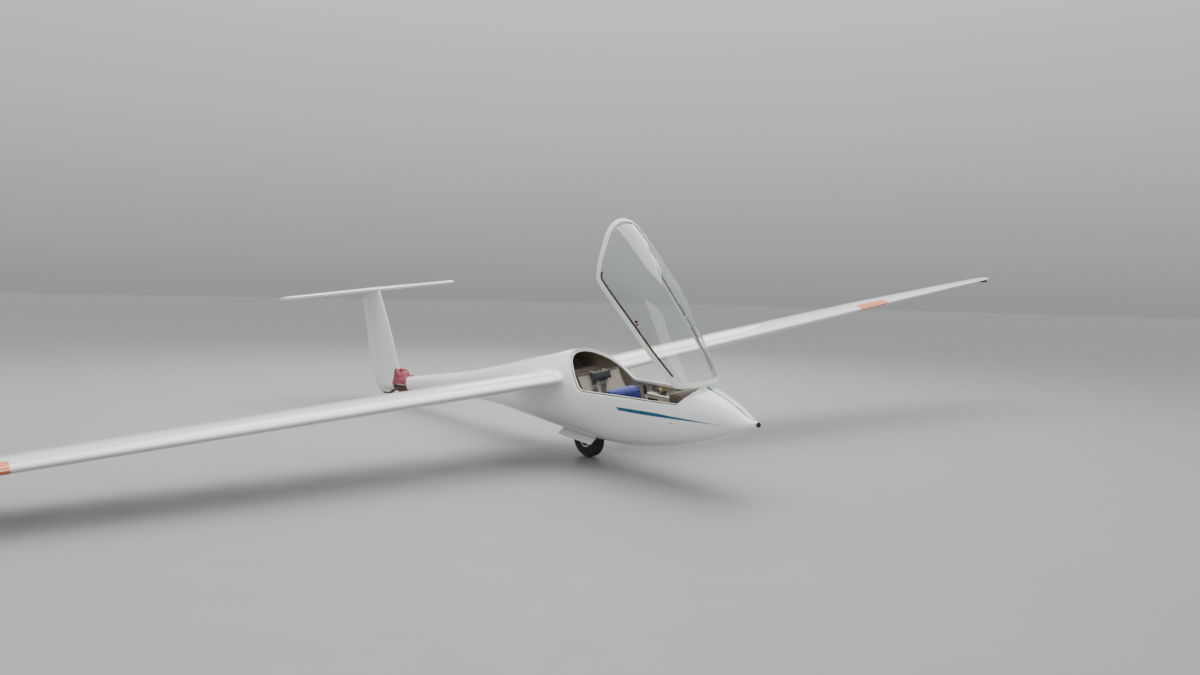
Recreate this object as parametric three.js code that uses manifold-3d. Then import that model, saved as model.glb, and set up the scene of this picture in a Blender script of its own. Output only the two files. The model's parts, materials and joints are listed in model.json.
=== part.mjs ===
// Single-seat sailplane, 15 m span, parked on its main wheel, its tail dolly and one wing tip.
// Millimetres. The builder's datum has its origin at the nose tip, X forward, Y to port, Z up.
// Stations run aft from the nose tip, so a point at station s has X = -s.
import * as THREE from "three";
import { mergeVertices } from "three/addons/utils/BufferGeometryUtils.js";
import Module from "manifold-3d";

const wasm = await Module();
wasm.setup();

// Attitude on the ground
const PARKED_ROLL = 6.83;
const PARKED_PITCH = 2.9;

// Fuselage
const SKIN = 10;
const POD_END = 2860;
const BOOM_END = 6490;
const BODY_SIDES = 24;
const UPPER_POWER = 2.1;
const LOWER_POWER = 2.3;
const SHOULDER = 0.47;
const HOLLOW_START = 110;
const HOLLOW_END = 2330;
const TOUCH = 0.3;
const RUN = 5;

// Wing and tail
const HALF_SPAN = 7500;
const ROOT_Y = 362;
const WING_INCIDENCE = 2.6;
const AILERON = { inner: 4780, outer: 7230, fraction: 0.79 };
const BRAKE = { inner: 2050, outer: 3200, fraction: 0.5, width: 34, floor: 22 };
const TAIL_HEIGHT = 1231;
const TAIL_THICKNESS = 0.115;
const NOSE_SHY = 1.2;
const ELEVATOR_FRACTION = 0.7;
const RUDDER_HINGE = { low: [6505, -118], high: [6600, 1176], foot: -178, rear: 6900, slope: 1092 };
const FAIRING = { station: 6630, z: 60, halves: [168, 78, 17], front: 6498, back: 6562 };

// Canopy
const CANOPY_HINGE = { station: 437, z: 203, arm: 45, eye: 12 };
const CANOPY_OPEN = 48.5;
const CANOPY_BAND = 32;

// Wheels
const MAIN_WHEEL = { station: 2000, z: -291 };
const CASTOR = { station: 5895, trail: 62, radius: 60, width: 38, rim: 30 };

// station, half width, top, bottom
const BODY = [
  [0, 20, 17, -18],
  [60, 65, 38, -40],
  [200, 135, 125, -88],
  [450, 215, 238, -163],
  [800, 274, 361, -232],
  [1200, 303, 487, -272],
  [1600, 332, 507, -266],
  [2000, 319, 513, -229],
  [2400, 290, 461, -184],
  [2800, 240, 406, -144],
  [3300, 175, 335, -92],
  [4000, 128, 246, -55],
  [4800, 108, 175, -65],
  [5800, 88, 100, -75],
  [6500, 58, 55, -75],
];

// distance from the centre line, chord, leading edge station, height of the chord line, thickness
const WING = [
  [150, 950, 1866, 278, 0.158],
  [362, 915, 1868, 284, 0.154],
  [2400, 815, 1895, 346, 0.147],
  [4600, 705, 1924, 412, 0.136],
  [6400, 500, 1948, 458, 0.132],
  [7200, 400, 1962, 476, 0.13],
  [7340, 360, 1976, 478, 0.126],
  [7430, 285, 2012, 480, 0.12],
  [7500, 150, 2085, 481, 0.1],
];

// distance from the centre line, chord, leading edge station
const TAILPLANE = [
  [0, 520, 6225],
  [700, 430, 6278],
  [1080, 375, 6310],
  [1140, 330, 6330],
  [1156, 250, 6365],
];

// height, leading edge station, trailing edge station, thickness over chord
const FIN = [
  [-120, 6240, 6600, 0.12],
  [-80, 6150, 6672, 0.13],
  [0, 6010, 6738, 0.145],
  [60, 5850, 6790, 0.125],
  [207, 5917, 6800, 0.112],
  [566, 6000, 6800, 0.108],
  [900, 6105, 6800, 0.108],
  [1225, 6228, 6800, 0.11],
];

// The cockpit opening as it is seen from the side: station, height, corner radius
const OPENING = [
  [330, 379, 0],
  [570, 138, 50],
  [1000, 165, 400],
  [1645, 197, 110],
  [1830, 390, 300],
  [2160, 640, 0],
  [2160, 900, 0],
  [330, 900, 0],
];

const WHITE = { color: 0xf2f2ee, roughness: 0.25, metalness: 0 };
const LOOKS = {
  gelcoat: WHITE,
  rim_white: { color: 0xe6e5df, roughness: 0.45, metalness: 0 },
  perspex: { color: 0xdfe8ea, roughness: 0.05, metalness: 0, transparent: true, opacity: 0.3 },
  liner: { color: 0xb9b2a2, roughness: 0.8, metalness: 0 },
  cushion: { color: 0x2a49b8, roughness: 0.9, metalness: 0 },
  panel: { color: 0x202224, roughness: 0.6, metalness: 0 },
  steel: { color: 0x9a9da0, roughness: 0.35, metalness: 0.9 },
  alloy: { color: 0xb8babc, roughness: 0.4, metalness: 0.9 },
  rubber: { color: 0x1c1c1d, roughness: 0.9, metalness: 0 },
  dolly_red: { color: 0x9b4440, roughness: 0.55, metalness: 0 },
};

const materials = Object.fromEntries(
  Object.entries(LOOKS).map(([name, look]) => [name, new THREE.MeshStandardMaterial(look)]),
);

const rad = THREE.MathUtils.degToRad;
const at = (station, y, z) => new THREE.Vector3(-station, y, z);

// The value of a table's column at a place between its rows, on a smooth curve
function smooth(rows, column, place) {
  const last = rows.length - 1;
  const step = (i) => rows[i + 1][0] - rows[i][0];
  const slope = (i) => (rows[i + 1][column] - rows[i][column]) / step(i);
  const tangent = (i) => {
    if (i === 0) return slope(0);
    if (i === last) return slope(last - 1);
    return (step(i) * slope(i - 1) + step(i - 1) * slope(i)) / (step(i - 1) + step(i));
  };
  let i = 0;
  while (i < last - 1 && place > rows[i + 1][0]) i += 1;
  const h = step(i);
  const u = (place - rows[i][0]) / h;
  const ease = u * u * (3 - 2 * u);
  const bend = u * (1 - u) * h * ((1 - u) * tangent(i) - u * tangent(i + 1));
  return THREE.MathUtils.lerp(rows[i][column], rows[i + 1][column], ease) + bend;
}

// The value of a table's column on straight lines between its rows
function straight(rows, column, place) {
  let i = 0;
  while (i < rows.length - 2 && place > rows[i + 1][0]) i += 1;
  const u = (place - rows[i][0]) / (rows[i + 1][0] - rows[i][0]);
  return THREE.MathUtils.lerp(rows[i][column], rows[i + 1][column], u);
}

// Solids
function signedVolume(points, faces) {
  const across = new THREE.Vector3();
  return faces.reduce(
    (sum, [a, b, c]) => sum + points[a].dot(across.crossVectors(points[b], points[c])) / 6,
    0,
  );
}

function fromFaces(points, faces) {
  const outward = signedVolume(points, faces) > 0;
  const geometry = new THREE.BufferGeometry();
  geometry.setFromPoints(points);
  geometry.setIndex(faces.flatMap(([a, b, c]) => (outward ? [a, b, c] : [a, c, b])));
  return solid(geometry);
}

function solid(geometry) {
  const bare = new THREE.BufferGeometry();
  bare.setAttribute("position", geometry.getAttribute("position"));
  bare.setIndex(geometry.index);
  const merged = mergeVertices(bare, 0.001);
  const index = Array.from(merged.index.array);
  const triangles = [];
  for (let i = 0; i < index.length; i += 3) {
    const [a, b, c] = index.slice(i, i + 3);
    if (a !== b && b !== c && c !== a) triangles.push(a, b, c);
  }
  return new wasm.Manifold(
    new wasm.Mesh({
      numProp: 3,
      vertProperties: Float32Array.from(merged.attributes.position.array),
      triVerts: Uint32Array.from(triangles),
    }),
  );
}

function loft(rings) {
  const count = rings[0].length;
  const faces = [];
  for (let r = 0; r < rings.length - 1; r += 1) {
    for (let k = 0; k < count; k += 1) {
      const a = r * count + k;
      const b = r * count + ((k + 1) % count);
      faces.push([a, b, b + count], [a, b + count, a + count]);
    }
  }
  const end = (rings.length - 1) * count;
  for (let k = 1; k < count - 1; k += 1) {
    faces.push([0, k + 1, k], [end, end + k, end + k + 1]);
  }
  return fromFaces(rings.flat(), faces);
}

function box(stations, ys, zs) {
  const size = [stations[1] - stations[0], ys[1] - ys[0], zs[1] - zs[0]];
  const geometry = new THREE.BoxGeometry(...size);
  geometry.translate(-(stations[0] + stations[1]) / 2, (ys[0] + ys[1]) / 2, (zs[0] + zs[1]) / 2);
  return solid(geometry);
}

function rod(from, to, radius, endRadius = radius, sides = 16) {
  const along = new THREE.Vector3().subVectors(to, from);
  const geometry = new THREE.CylinderGeometry(endRadius, radius, along.length(), sides);
  const turn = new THREE.Quaternion();
  turn.setFromUnitVectors(new THREE.Vector3(0, 1, 0), along.clone().normalize());
  geometry.applyQuaternion(turn);
  geometry.translate(...new THREE.Vector3().addVectors(from, to).multiplyScalar(0.5));
  return solid(geometry);
}

// A bent tube through points
function tube(points, radius, steps, sides = 10) {
  const section = new THREE.Shape().absarc(0, 0, radius, 0, Math.PI * 2);
  const extrudePath = new THREE.CatmullRomCurve3(points);
  const geometry = new THREE.ExtrudeGeometry(section, { extrudePath, steps, curveSegments: sides });
  return solid(geometry);
}

// A profile of radius and distance along the axle, turned about the Y axis
function wheel(profile, segments) {
  const points = profile.map(([radius, along]) => new THREE.Vector2(radius, along));
  const geometry = new THREE.LatheGeometry([...points, points[0]], segments);
  const turned = solid(geometry);
  return turned.volume() > 0 ? turned : solid(flipped(geometry));
}

function flipped(geometry) {
  const copy = geometry.clone();
  const index = Array.from(copy.index.array);
  copy.setIndex(index.map((_, i) => index[i - (i % 3) + [0, 2, 1][i % 3]]));
  return copy;
}

// Moves each side of a polygon outwards by a distance
function grown(points, distance) {
  const turning = points.reduce((sum, [x, y], i) => {
    const [x2, y2] = points[(i + 1) % points.length];
    return sum + x * y2 - x2 * y;
  }, 0);
  const side = Math.sign(turning) * distance;
  return points.map(([x, y, radius = 0], i) => {
    const before = points[(i + points.length - 1) % points.length];
    const after = points[(i + 1) % points.length];
    const a = new THREE.Vector2(x - before[0], y - before[1]).normalize();
    const b = new THREE.Vector2(after[0] - x, after[1] - y).normalize();
    const mitre = new THREE.Vector2(a.y + b.y, -a.x - b.x).normalize();
    const reach = side / Math.max(mitre.dot(new THREE.Vector2(a.y, -a.x)), 0.2);
    return [x + mitre.x * reach, y + mitre.y * reach, radius];
  });
}

// A polygon with rounded corners, seen from the side as station and height, through all of Y
function sidePrism(points, ys = [-900, 900], segments = 6) {
  const shape = new THREE.Shape();
  points.forEach(([x, y, radius = 0], i) => {
    const here = new THREE.Vector2(x, y);
    const before = new THREE.Vector2(...points[(i + points.length - 1) % points.length].slice(0, 2));
    const after = new THREE.Vector2(...points[(i + 1) % points.length].slice(0, 2));
    const back = before.sub(here);
    const ahead = after.sub(here);
    const corner = Math.abs(Math.PI - Math.abs(back.angleTo(ahead)));
    const trim = Math.min(radius * Math.tan(corner / 2), back.length() * 0.45, ahead.length() * 0.45);
    const start = here.clone().addScaledVector(back.normalize(), trim);
    const stop = here.clone().addScaledVector(ahead.normalize(), trim);
    if (i === 0) shape.moveTo(start.x, start.y);
    else shape.lineTo(start.x, start.y);
    if (trim > 0) shape.quadraticCurveTo(here.x, here.y, stop.x, stop.y);
  });
  const depth = ys[1] - ys[0];
  const settings = { depth, bevelEnabled: false, curveSegments: segments };
  const geometry = new THREE.ExtrudeGeometry(shape, settings);
  geometry.translate(0, 0, ys[0]);
  geometry.applyMatrix4(new THREE.Matrix4().set(-1, 0, 0, 0, 0, 0, 1, 0, 0, 1, 0, 0, 0, 0, 0, 1));
  return solid(geometry);
}

// A slab between two quadrilaterals
function panel(corners, offset) {
  const shift = new THREE.Vector3(...offset);
  return loft([corners, corners.map((corner) => corner.clone().add(shift))]);
}

function union(...bodies) {
  return bodies.reduce((sum, body) => sum.add(body));
}

function both(body) {
  return body.add(body.mirror([0, 1, 0]));
}

// Fuselage surface
function bodyRing(station, inset = 0) {
  const half = smooth(BODY, 1, station) - inset;
  const top = smooth(BODY, 2, station) - inset;
  const bottom = smooth(BODY, 3, station) + inset;
  const middle = bottom + SHOULDER * (top - bottom);
  return Array.from({ length: BODY_SIDES }, (_, k) => {
    const angle = (2 * Math.PI * k) / BODY_SIDES;
    const [across, up] = [Math.cos(angle), Math.sin(angle)];
    const power = 2 / (up >= 0 ? UPPER_POWER : LOWER_POWER);
    const reach = up >= 0 ? top - middle : middle - bottom;
    const y = Math.sign(across) * Math.abs(across) ** power * half;
    return at(station, y, middle + Math.sign(up) * Math.abs(up) ** power * reach);
  });
}

const POD_STATIONS = [
  0, 20, 60, 120, 200, 310, 450, 620, 800, 1000, 1200, 1400, 1600, 1800, 2000, 2200, 2400, 2620, POD_END,
];
const BOOM_STATIONS = [POD_END, 3080, 3300, 3650, 4000, 4400, 4800, 5300, 5800, 6150, BOOM_END];

function bodyLoft(stations, inset = 0, from = -Infinity, to = Infinity) {
  const inside = stations.filter((station) => station > from && station < to);
  const ends = [from, to].filter(Number.isFinite);
  const all = [...inside, ...ends].sort((a, b) => a - b);
  return loft(all.map((station) => bodyRing(station, inset)));
}

// Aerofoil: half thickness and camber over the chord, both as a share of the chord
const AEROFOIL_STEPS = 11;
const CAMBER = 0.022;

function halfThickness(x, thickness) {
  const w = x ** 1.12;
  const series = 0.2969 * Math.sqrt(w) - 0.126 * w - 0.3516 * w ** 2 + 0.2843 * w ** 3 - 0.1015 * w ** 4;
  return 5 * thickness * series;
}

function foilPoints(thickness, camber) {
  const xs = Array.from({ length: AEROFOIL_STEPS }, (_, i) => (1 - Math.cos((Math.PI * i) / (AEROFOIL_STEPS - 1))) / 2);
  const bend = (x) => 4 * camber * x * (1 - x);
  const upper = xs.map((x) => [x, bend(x) + Math.max(halfThickness(x, thickness), 0.0012)]);
  const lower = xs.slice(1).map((x) => [x, bend(x) - Math.max(halfThickness(x, thickness), 0.0012)]);
  return [...upper.reverse(), ...lower];
}

// A point of the wing's section: share of the chord and height over it, both in chords
function wingPoint(y, x, h) {
  const chord = straight(WING, 1, y);
  const tilt = rad(WING_INCIDENCE);
  const aft = chord * (x * Math.cos(tilt) + h * Math.sin(tilt));
  const up = chord * (h * Math.cos(tilt) - x * Math.sin(tilt));
  return at(straight(WING, 2, y) + aft, y, straight(WING, 3, y) + up);
}

function wingLoft(ys, swell = 0) {
  return loft(
    ys.map((y) => foilPoints(straight(WING, 4, y) + swell, CAMBER).map(([x, h]) => wingPoint(y, x, h))),
  );
}

function tailRing(y, swell = 0) {
  const side = Math.abs(y);
  const chord = straight(TAILPLANE, 1, side) + swell * 2;
  const lead = straight(TAILPLANE, 2, side) - swell;
  const thickness = TAIL_THICKNESS + (2 * swell) / chord;
  return foilPoints(thickness, 0).map(([x, h]) => at(lead + x * chord, y, TAIL_HEIGHT + h * chord));
}

function finRing(z, swell = 0) {
  const lead = smooth(FIN, 1, z) - swell;
  const chord = smooth(FIN, 2, z) + swell - lead;
  const thickness = smooth(FIN, 3, z) + (2 * swell) / chord;
  return foilPoints(thickness, 0).map(([x, h]) => at(lead + x * chord, h * chord, z));
}

// Splits a surface along a hinge line into its fixed part and its flap with a round nose.
// The line is a list of points with the nose's radius at each
function hinged(full, region, wider, line) {
  const rods = (swell) => line.slice(1).map((end, i) => {
    const start = line[i];
    const along = new THREE.Vector3().subVectors(end.point, start.point).normalize();
    const from = start.point.clone().addScaledVector(along, -swell);
    const to = end.point.clone().addScaledVector(along, swell);
    return rod(from, to, start.radius + swell, end.radius + swell, 24);
  });
  const first = line[0].point;
  const along = new THREE.Vector3().subVectors(line[line.length - 1].point, first).normalize();
  const flap = union(full.intersect(region), ...rods(0));
  const hollow = union(...rods(RUN));
  return { flap, fixed: full.subtract(wider).subtract(hollow), hollow, along };
}

// Parts are collected in the datum frame and meet the ground at the end
const datum = new THREE.Group();
datum.rotation.set(rad(PARKED_ROLL), rad(-PARKED_PITCH), 0, "YXZ");
datum.updateMatrixWorld();

function meshOf(name, body, look) {
  const { numProp, vertProperties, triVerts } = body.getMesh();
  const geometry = new THREE.BufferGeometry();
  const positions = new Float32Array((vertProperties.length / numProp) * 3);
  for (let i = 0; i < positions.length / 3; i += 1) {
    positions.set(vertProperties.subarray(i * numProp, i * numProp + 3), i * 3);
  }
  geometry.setAttribute("position", new THREE.BufferAttribute(positions, 3));
  geometry.setIndex(new THREE.BufferAttribute(Uint32Array.from(triVerts), 1));
  geometry.computeVertexNormals();
  const mesh = new THREE.Mesh(geometry, materials[look]);
  mesh.name = name;
  return mesh;
}

function add(name, body, look, parent = datum) {
  const mesh = meshOf(name, body, look);
  parent.add(mesh);
  return mesh;
}

// Joints: pivot and axis of each, in the datum frame
const joints = {};

// The space inside the pod, less a further distance
const cavity = (inset) => bodyLoft(POD_STATIONS, inset, HOLLOW_START, HOLLOW_END);

// Fuselage pod, tail boom and fin
const opening = (distance) => sidePrism(grown(OPENING, distance), [-900, 900], 4);
const WELL = { stations: [1772, 2228], half: 104, wall: 8, top: -70 };

function rootStubs(swell) {
  return both(wingLoft([150, 260, ROOT_Y - 2], swell));
}

function makePod() {
  const outer = bodyLoft(POD_STATIONS).add(rootStubs(0.012));
  const { stations, half, wall, top } = WELL;
  const wellBox = box(
    [stations[0] - wall, stations[1] + wall],
    [-half - wall, half + wall],
    [-400, top + wall],
  );
  const wellSpace = box(stations, [-half, half], [-400, top]);
  const well = wellBox.intersect(bodyLoft(POD_STATIONS));
  return outer.subtract(cavity(SKIN)).add(well).subtract(wellSpace).subtract(opening(RUN / 2));
}

const finLevels = [-120, -80, -40, 0, 60, 130, 207, 380, 566, 730, 900, 1060, 1225];
const finLoft = (swell) => loft(finLevels.map((z) => finRing(z, swell)));
const finFull = finLoft(0);

function finHalfAt(station, z) {
  const lead = smooth(FIN, 1, z);
  const chord = smooth(FIN, 2, z) - lead;
  return halfThickness((station - lead) / chord, smooth(FIN, 3, z)) * chord;
}

// A flat lens about a station and height, with its half lengths along X, Y and Z
function lens(station, z, halves) {
  const geometry = new THREE.SphereGeometry(1, 20, 8);
  geometry.applyMatrix4(new THREE.Matrix4().makeRotationX(Math.PI / 2));
  geometry.scale(...halves);
  geometry.translate(-station, 0, z);
  return solid(geometry);
}

// The rudder's hinge line at a height
const rudderAt = (z) => {
  const [low, high] = [RUDDER_HINGE.low, RUDDER_HINGE.high];
  const share = (z - low[1]) / (high[1] - low[1]);
  return THREE.MathUtils.lerp(low[0], high[0], share);
};

function makeTail() {
  const { low, high, foot, rear, slope } = RUDDER_HINGE;
  const region = sidePrism([[low[0], foot], [rear, foot], [rear, slope], high]);
  const wider = sidePrism([
    [low[0], foot], [rear, foot], [rear, 1400], [6556, 1400], [6556, 1188], [high[0], high[1] + 2 * RUN],
  ]);
  const onHinge = (z) => {
    const station = rudderAt(z);
    return { point: at(station, 0, z), radius: finHalfAt(station, z) - NOSE_SHY };
  };
  const line = [low[1], -80, 0, 60, 207, 566, high[1]].map(onHinge);
  const parts = hinged(finFull, region, wider, line);
  joints.rudder = { pivot: line[0].point, axis: parts.along };
  const tailCut = loft([-1200, -700, 0, 700, 1200].map((y) => tailRing(y, TOUCH + 0.2)));
  const fairing = lens(FAIRING.station, FAIRING.z, FAIRING.halves);
  const { front, back } = FAIRING;
  const ahead = fairing.intersect(box([6000, front], [-200, 200], [0, 200]));
  const behind = fairing.intersect(box([back, rear], [-200, 200], [0, 200]));
  const boom = bodyLoft(BOOM_STATIONS);
  const fixed = union(boom, parts.fixed.subtract(tailCut), ahead).subtract(parts.hollow);
  return { fixed, rudder: parts.flap.subtract(tailCut).add(behind) };
}

const pod = makePod();
const tail = makeTail();
const boomGap = box([POD_END - TOUCH, POD_END], [-900, 900], [-900, 900]);
add("fuselage_pod", pod.subtract(boomGap), "gelcoat");
add("tail_boom_and_fin", tail.fixed, "gelcoat");
add("rudder", tail.rudder, "gelcoat");

// Tailplane and elevator
function makeTailplane() {
  const ys = [-1156, -1140, -1080, -700, 0, 700, 1080, 1140, 1156];
  const full = loft(ys.map((y) => tailRing(y)));
  const end = 1090;
  const station = straight(TAILPLANE, 2, 0) + ELEVATOR_FRACTION * straight(TAILPLANE, 1, 0);
  const onHinge = (y) => {
    const chord = straight(TAILPLANE, 1, Math.abs(y));
    const share = (station - straight(TAILPLANE, 2, Math.abs(y))) / chord;
    const radius = halfThickness(share, TAIL_THICKNESS) * chord - NOSE_SHY;
    return { point: at(station, y, TAIL_HEIGHT), radius };
  };
  const region = box([station, 6900], [-end, end], [1100, 1400]);
  const wider = box([station, 6900], [-end - RUN, end + RUN], [1100, 1400]);
  const parts = hinged(full, region, wider, [-end, -700, 0, 700, end].map(onHinge));
  joints.elevator = { pivot: at(station, 0, TAIL_HEIGHT), axis: new THREE.Vector3(0, 1, 0) };
  return parts;
}

const tailplane = makeTailplane();
add("tailplane", tailplane.fixed, "gelcoat");
add("elevator", tailplane.flap, "gelcoat");

// Wings, ailerons and airbrakes, made for port and mirrored for starboard
const wingYs = [ROOT_Y, 2400, 4600, 6400, 7200, 7340, 7430, 7475, HALF_SPAN];

function hingePoint(y, fraction) {
  return wingPoint(y, fraction, 4 * CAMBER * fraction * (1 - fraction));
}

function makeWing() {
  const full = wingLoft(wingYs);
  const { inner, outer, fraction } = AILERON;
  const line = [inner, 6400, outer].map((y) => {
    const radius = halfThickness(fraction, straight(WING, 4, y)) * straight(WING, 1, y) - NOSE_SHY;
    return { point: hingePoint(y, fraction), radius };
  });
  const [from, to] = [line[0].point, line[line.length - 1].point];
  const behind = (gap) => {
    const stations = [from, to].map((point) => -point.x);
    const corners = [
      at(stations[0], inner - gap, 200),
      at(3000, inner - gap, 200),
      at(3000, outer + gap, 200),
      at(stations[1], outer + gap, 200),
    ];
    return panel(corners, [0, 0, 500]);
  };
  const parts = hinged(full, behind(0), behind(RUN), line);
  const slot = makeBrakeBox(0);
  const cap = full.intersect(makeBrakeBox(RUN)).subtract(makeBrakeBelow());
  const brake = cap.add(makeBrakeBlade());
  return { wing: parts.fixed.subtract(slot), aileron: parts.flap, brake, from, along: parts.along };
}

function brakePoint(y, h) {
  return wingPoint(y, BRAKE.fraction, h);
}

// The airbrake's slot, less a gap on each side
function makeBrakeBox(gap) {
  const corners = (side) =>
    [BRAKE.inner + gap, BRAKE.outer - gap].map((y) => {
      const middle = brakePoint(y, 0);
      return at(-middle.x + side * (BRAKE.width / 2 - gap), y, middle.z - BRAKE.floor + gap);
    });
  const [a, b] = corners(-1);
  const [c, d] = corners(1);
  return panel([a, b, d, c], [0, 0, 200]);
}

function makeBrakeBelow() {
  const surface = (y) => {
    const h = 4 * CAMBER * 0.25 + halfThickness(BRAKE.fraction, straight(WING, 4, y));
    return brakePoint(y, h).z - 7;
  };
  const corners = [BRAKE.inner - 20, BRAKE.outer + 20].flatMap((y, i) => {
    const middle = -brakePoint(y, 0).x;
    const pair = [at(middle - 40, y, surface(y)), at(middle + 40, y, surface(y))];
    return i ? pair.reverse() : pair;
  });
  return panel(corners, [0, 0, -300]);
}

function makeBrakeBlade() {
  const gap = RUN + 4;
  const half = 4;
  const blade = [BRAKE.inner + gap, BRAKE.outer - gap].flatMap((y, i) => {
    const middle = brakePoint(y, 0);
    const station = -middle.x;
    const low = middle.z - BRAKE.floor + gap;
    const pair = [at(station - half, y, low), at(station + half, y, low)];
    return i ? pair.reverse() : pair;
  });
  const lift = 4 * CAMBER * 0.25 + halfThickness(BRAKE.fraction, 0.16);
  const height = lift * straight(WING, 1, BRAKE.outer) + BRAKE.floor - gap - 5;
  return panel(blade, [0, 0, height]);
}

const wing = makeWing();
const mirrored = (body) => body.mirror([0, 1, 0]);
for (const [side, turn] of [["left", (body) => body], ["right", mirrored]]) {
  const sign = side === "left" ? 1 : -1;
  add(`wing_${side}`, turn(wing.wing), "gelcoat");
  add(`aileron_${side}`, turn(wing.aileron), "gelcoat");
  add(`airbrake_${side}`, turn(wing.brake), "alloy");
  joints[`aileron_${side}`] = {
    pivot: new THREE.Vector3(wing.from.x, sign * wing.from.y, wing.from.z),
    axis: new THREE.Vector3(sign * wing.along.x, wing.along.y, sign * wing.along.z),
  };
}

// Canopy: a band and a clear shell, made closed and then turned open about its hinge
function makeCanopy() {
  const region = opening(-RUN / 2);
  const clear = opening(-CANOPY_BAND);
  const band = cavity(0).subtract(cavity(17)).intersect(region).subtract(clear);
  const inner = opening(-CANOPY_BAND - TOUCH);
  const shell = cavity(2).subtract(cavity(7)).intersect(inner);
  return { band, shell };
}

function makeArms() {
  const { station, z, arm, eye: radius } = CANOPY_HINGE;
  return [-arm, arm].map((y) => {
    const eye = rod(at(station, y - 5, z), at(station, y + 5, z), radius, radius, 20);
    const neck = [
      [-4, -13], [24, -44], [84, -40], [84, 26], [66, 46], [50, 43], [64, 22], [66, -20], [34, -24], [6, 4],
    ];
    const profile = neck.map(([aft, up]) => [station + aft, z + up]);
    const hole = rod(at(station, y - 9, z), at(station, y + 9, z), 5.5, 5.5, 20);
    return eye.add(sidePrism(profile, [y - 5, y + 5])).subtract(hole);
  });
}

function opened(body) {
  const { station, z } = CANOPY_HINGE;
  return body.translate([station, 0, -z]).rotate([0, CANOPY_OPEN, 0]).translate([-station, 0, z]);
}

const canopy = makeCanopy();
const arms = makeArms();
const framed = canopy.band.add(union(...arms));
add("canopy_frame", opened(framed), "rim_white");
add("canopy_glass", opened(canopy.shell), "perspex");
joints.canopy = {
  pivot: at(CANOPY_HINGE.station, 0, CANOPY_HINGE.z),
  axis: new THREE.Vector3(0, 1, 0),
};

// Cockpit rim and hinge lugs
function makeRim() {
  const inside = cavity(SKIN + TOUCH);
  const bore = cavity(SKIN + 28);
  const band = opening(18).subtract(opening(RUN / 2));
  const notch = box([380, 560], [-72, 72], [120, 300]);
  return inside.subtract(bore).intersect(band).subtract(notch);
}

add("cockpit_rim", makeRim(), "rim_white");

function makeLugs() {
  const { station, z, arm } = CANOPY_HINGE;
  const inside = cavity(SKIN + TOUCH);
  const cheek = [[-26, 60], [-18, -12], [8, -14], [16, 60]].map(([aft, up]) => [station + aft, z + up]);
  const lug = (y) => sidePrism(cheek, [y - 4, y + 4]);
  const pair = (y) => union(lug(y - 11), lug(y + 11), rod(at(station, y - 14, z), at(station, y + 14, z), 5));
  const beam = box([station - 26, station + 12], [-arm - 15, arm + 15], [z + 17, z + 60]);
  return union(pair(-arm), pair(arm), beam).intersect(inside).subtract(opening(RUN / 2));
}

add("canopy_hinge_lugs", makeLugs(), "alloy");

// Cockpit furniture
const SEAT_PAN = [[1010, -106], [1060, -128], [1200, -190], [1340, -196], [1450, -152]];
const SEAT_BACK = [[1464, -142], [1560, -55], [1680, 115], [1768, 290], [1777, 313]];
const SEAT_WALL = 8;

// A strip of constant thickness along a line of stations and heights
function strip(points, thickness) {
  const normals = points.map((_, i) => {
    const [x0, y0] = points[Math.max(i - 1, 0)];
    const [x1, y1] = points[Math.min(i + 1, points.length - 1)];
    return new THREE.Vector2(y0 - y1, x1 - x0).normalize().multiplyScalar(thickness / 2);
  });
  const upper = points.map(([x, y], i) => [x + normals[i].x, y + normals[i].y]);
  const lower = points.map(([x, y], i) => [x - normals[i].x, y - normals[i].y]);
  return [...upper, ...lower.reverse()];
}

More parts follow.
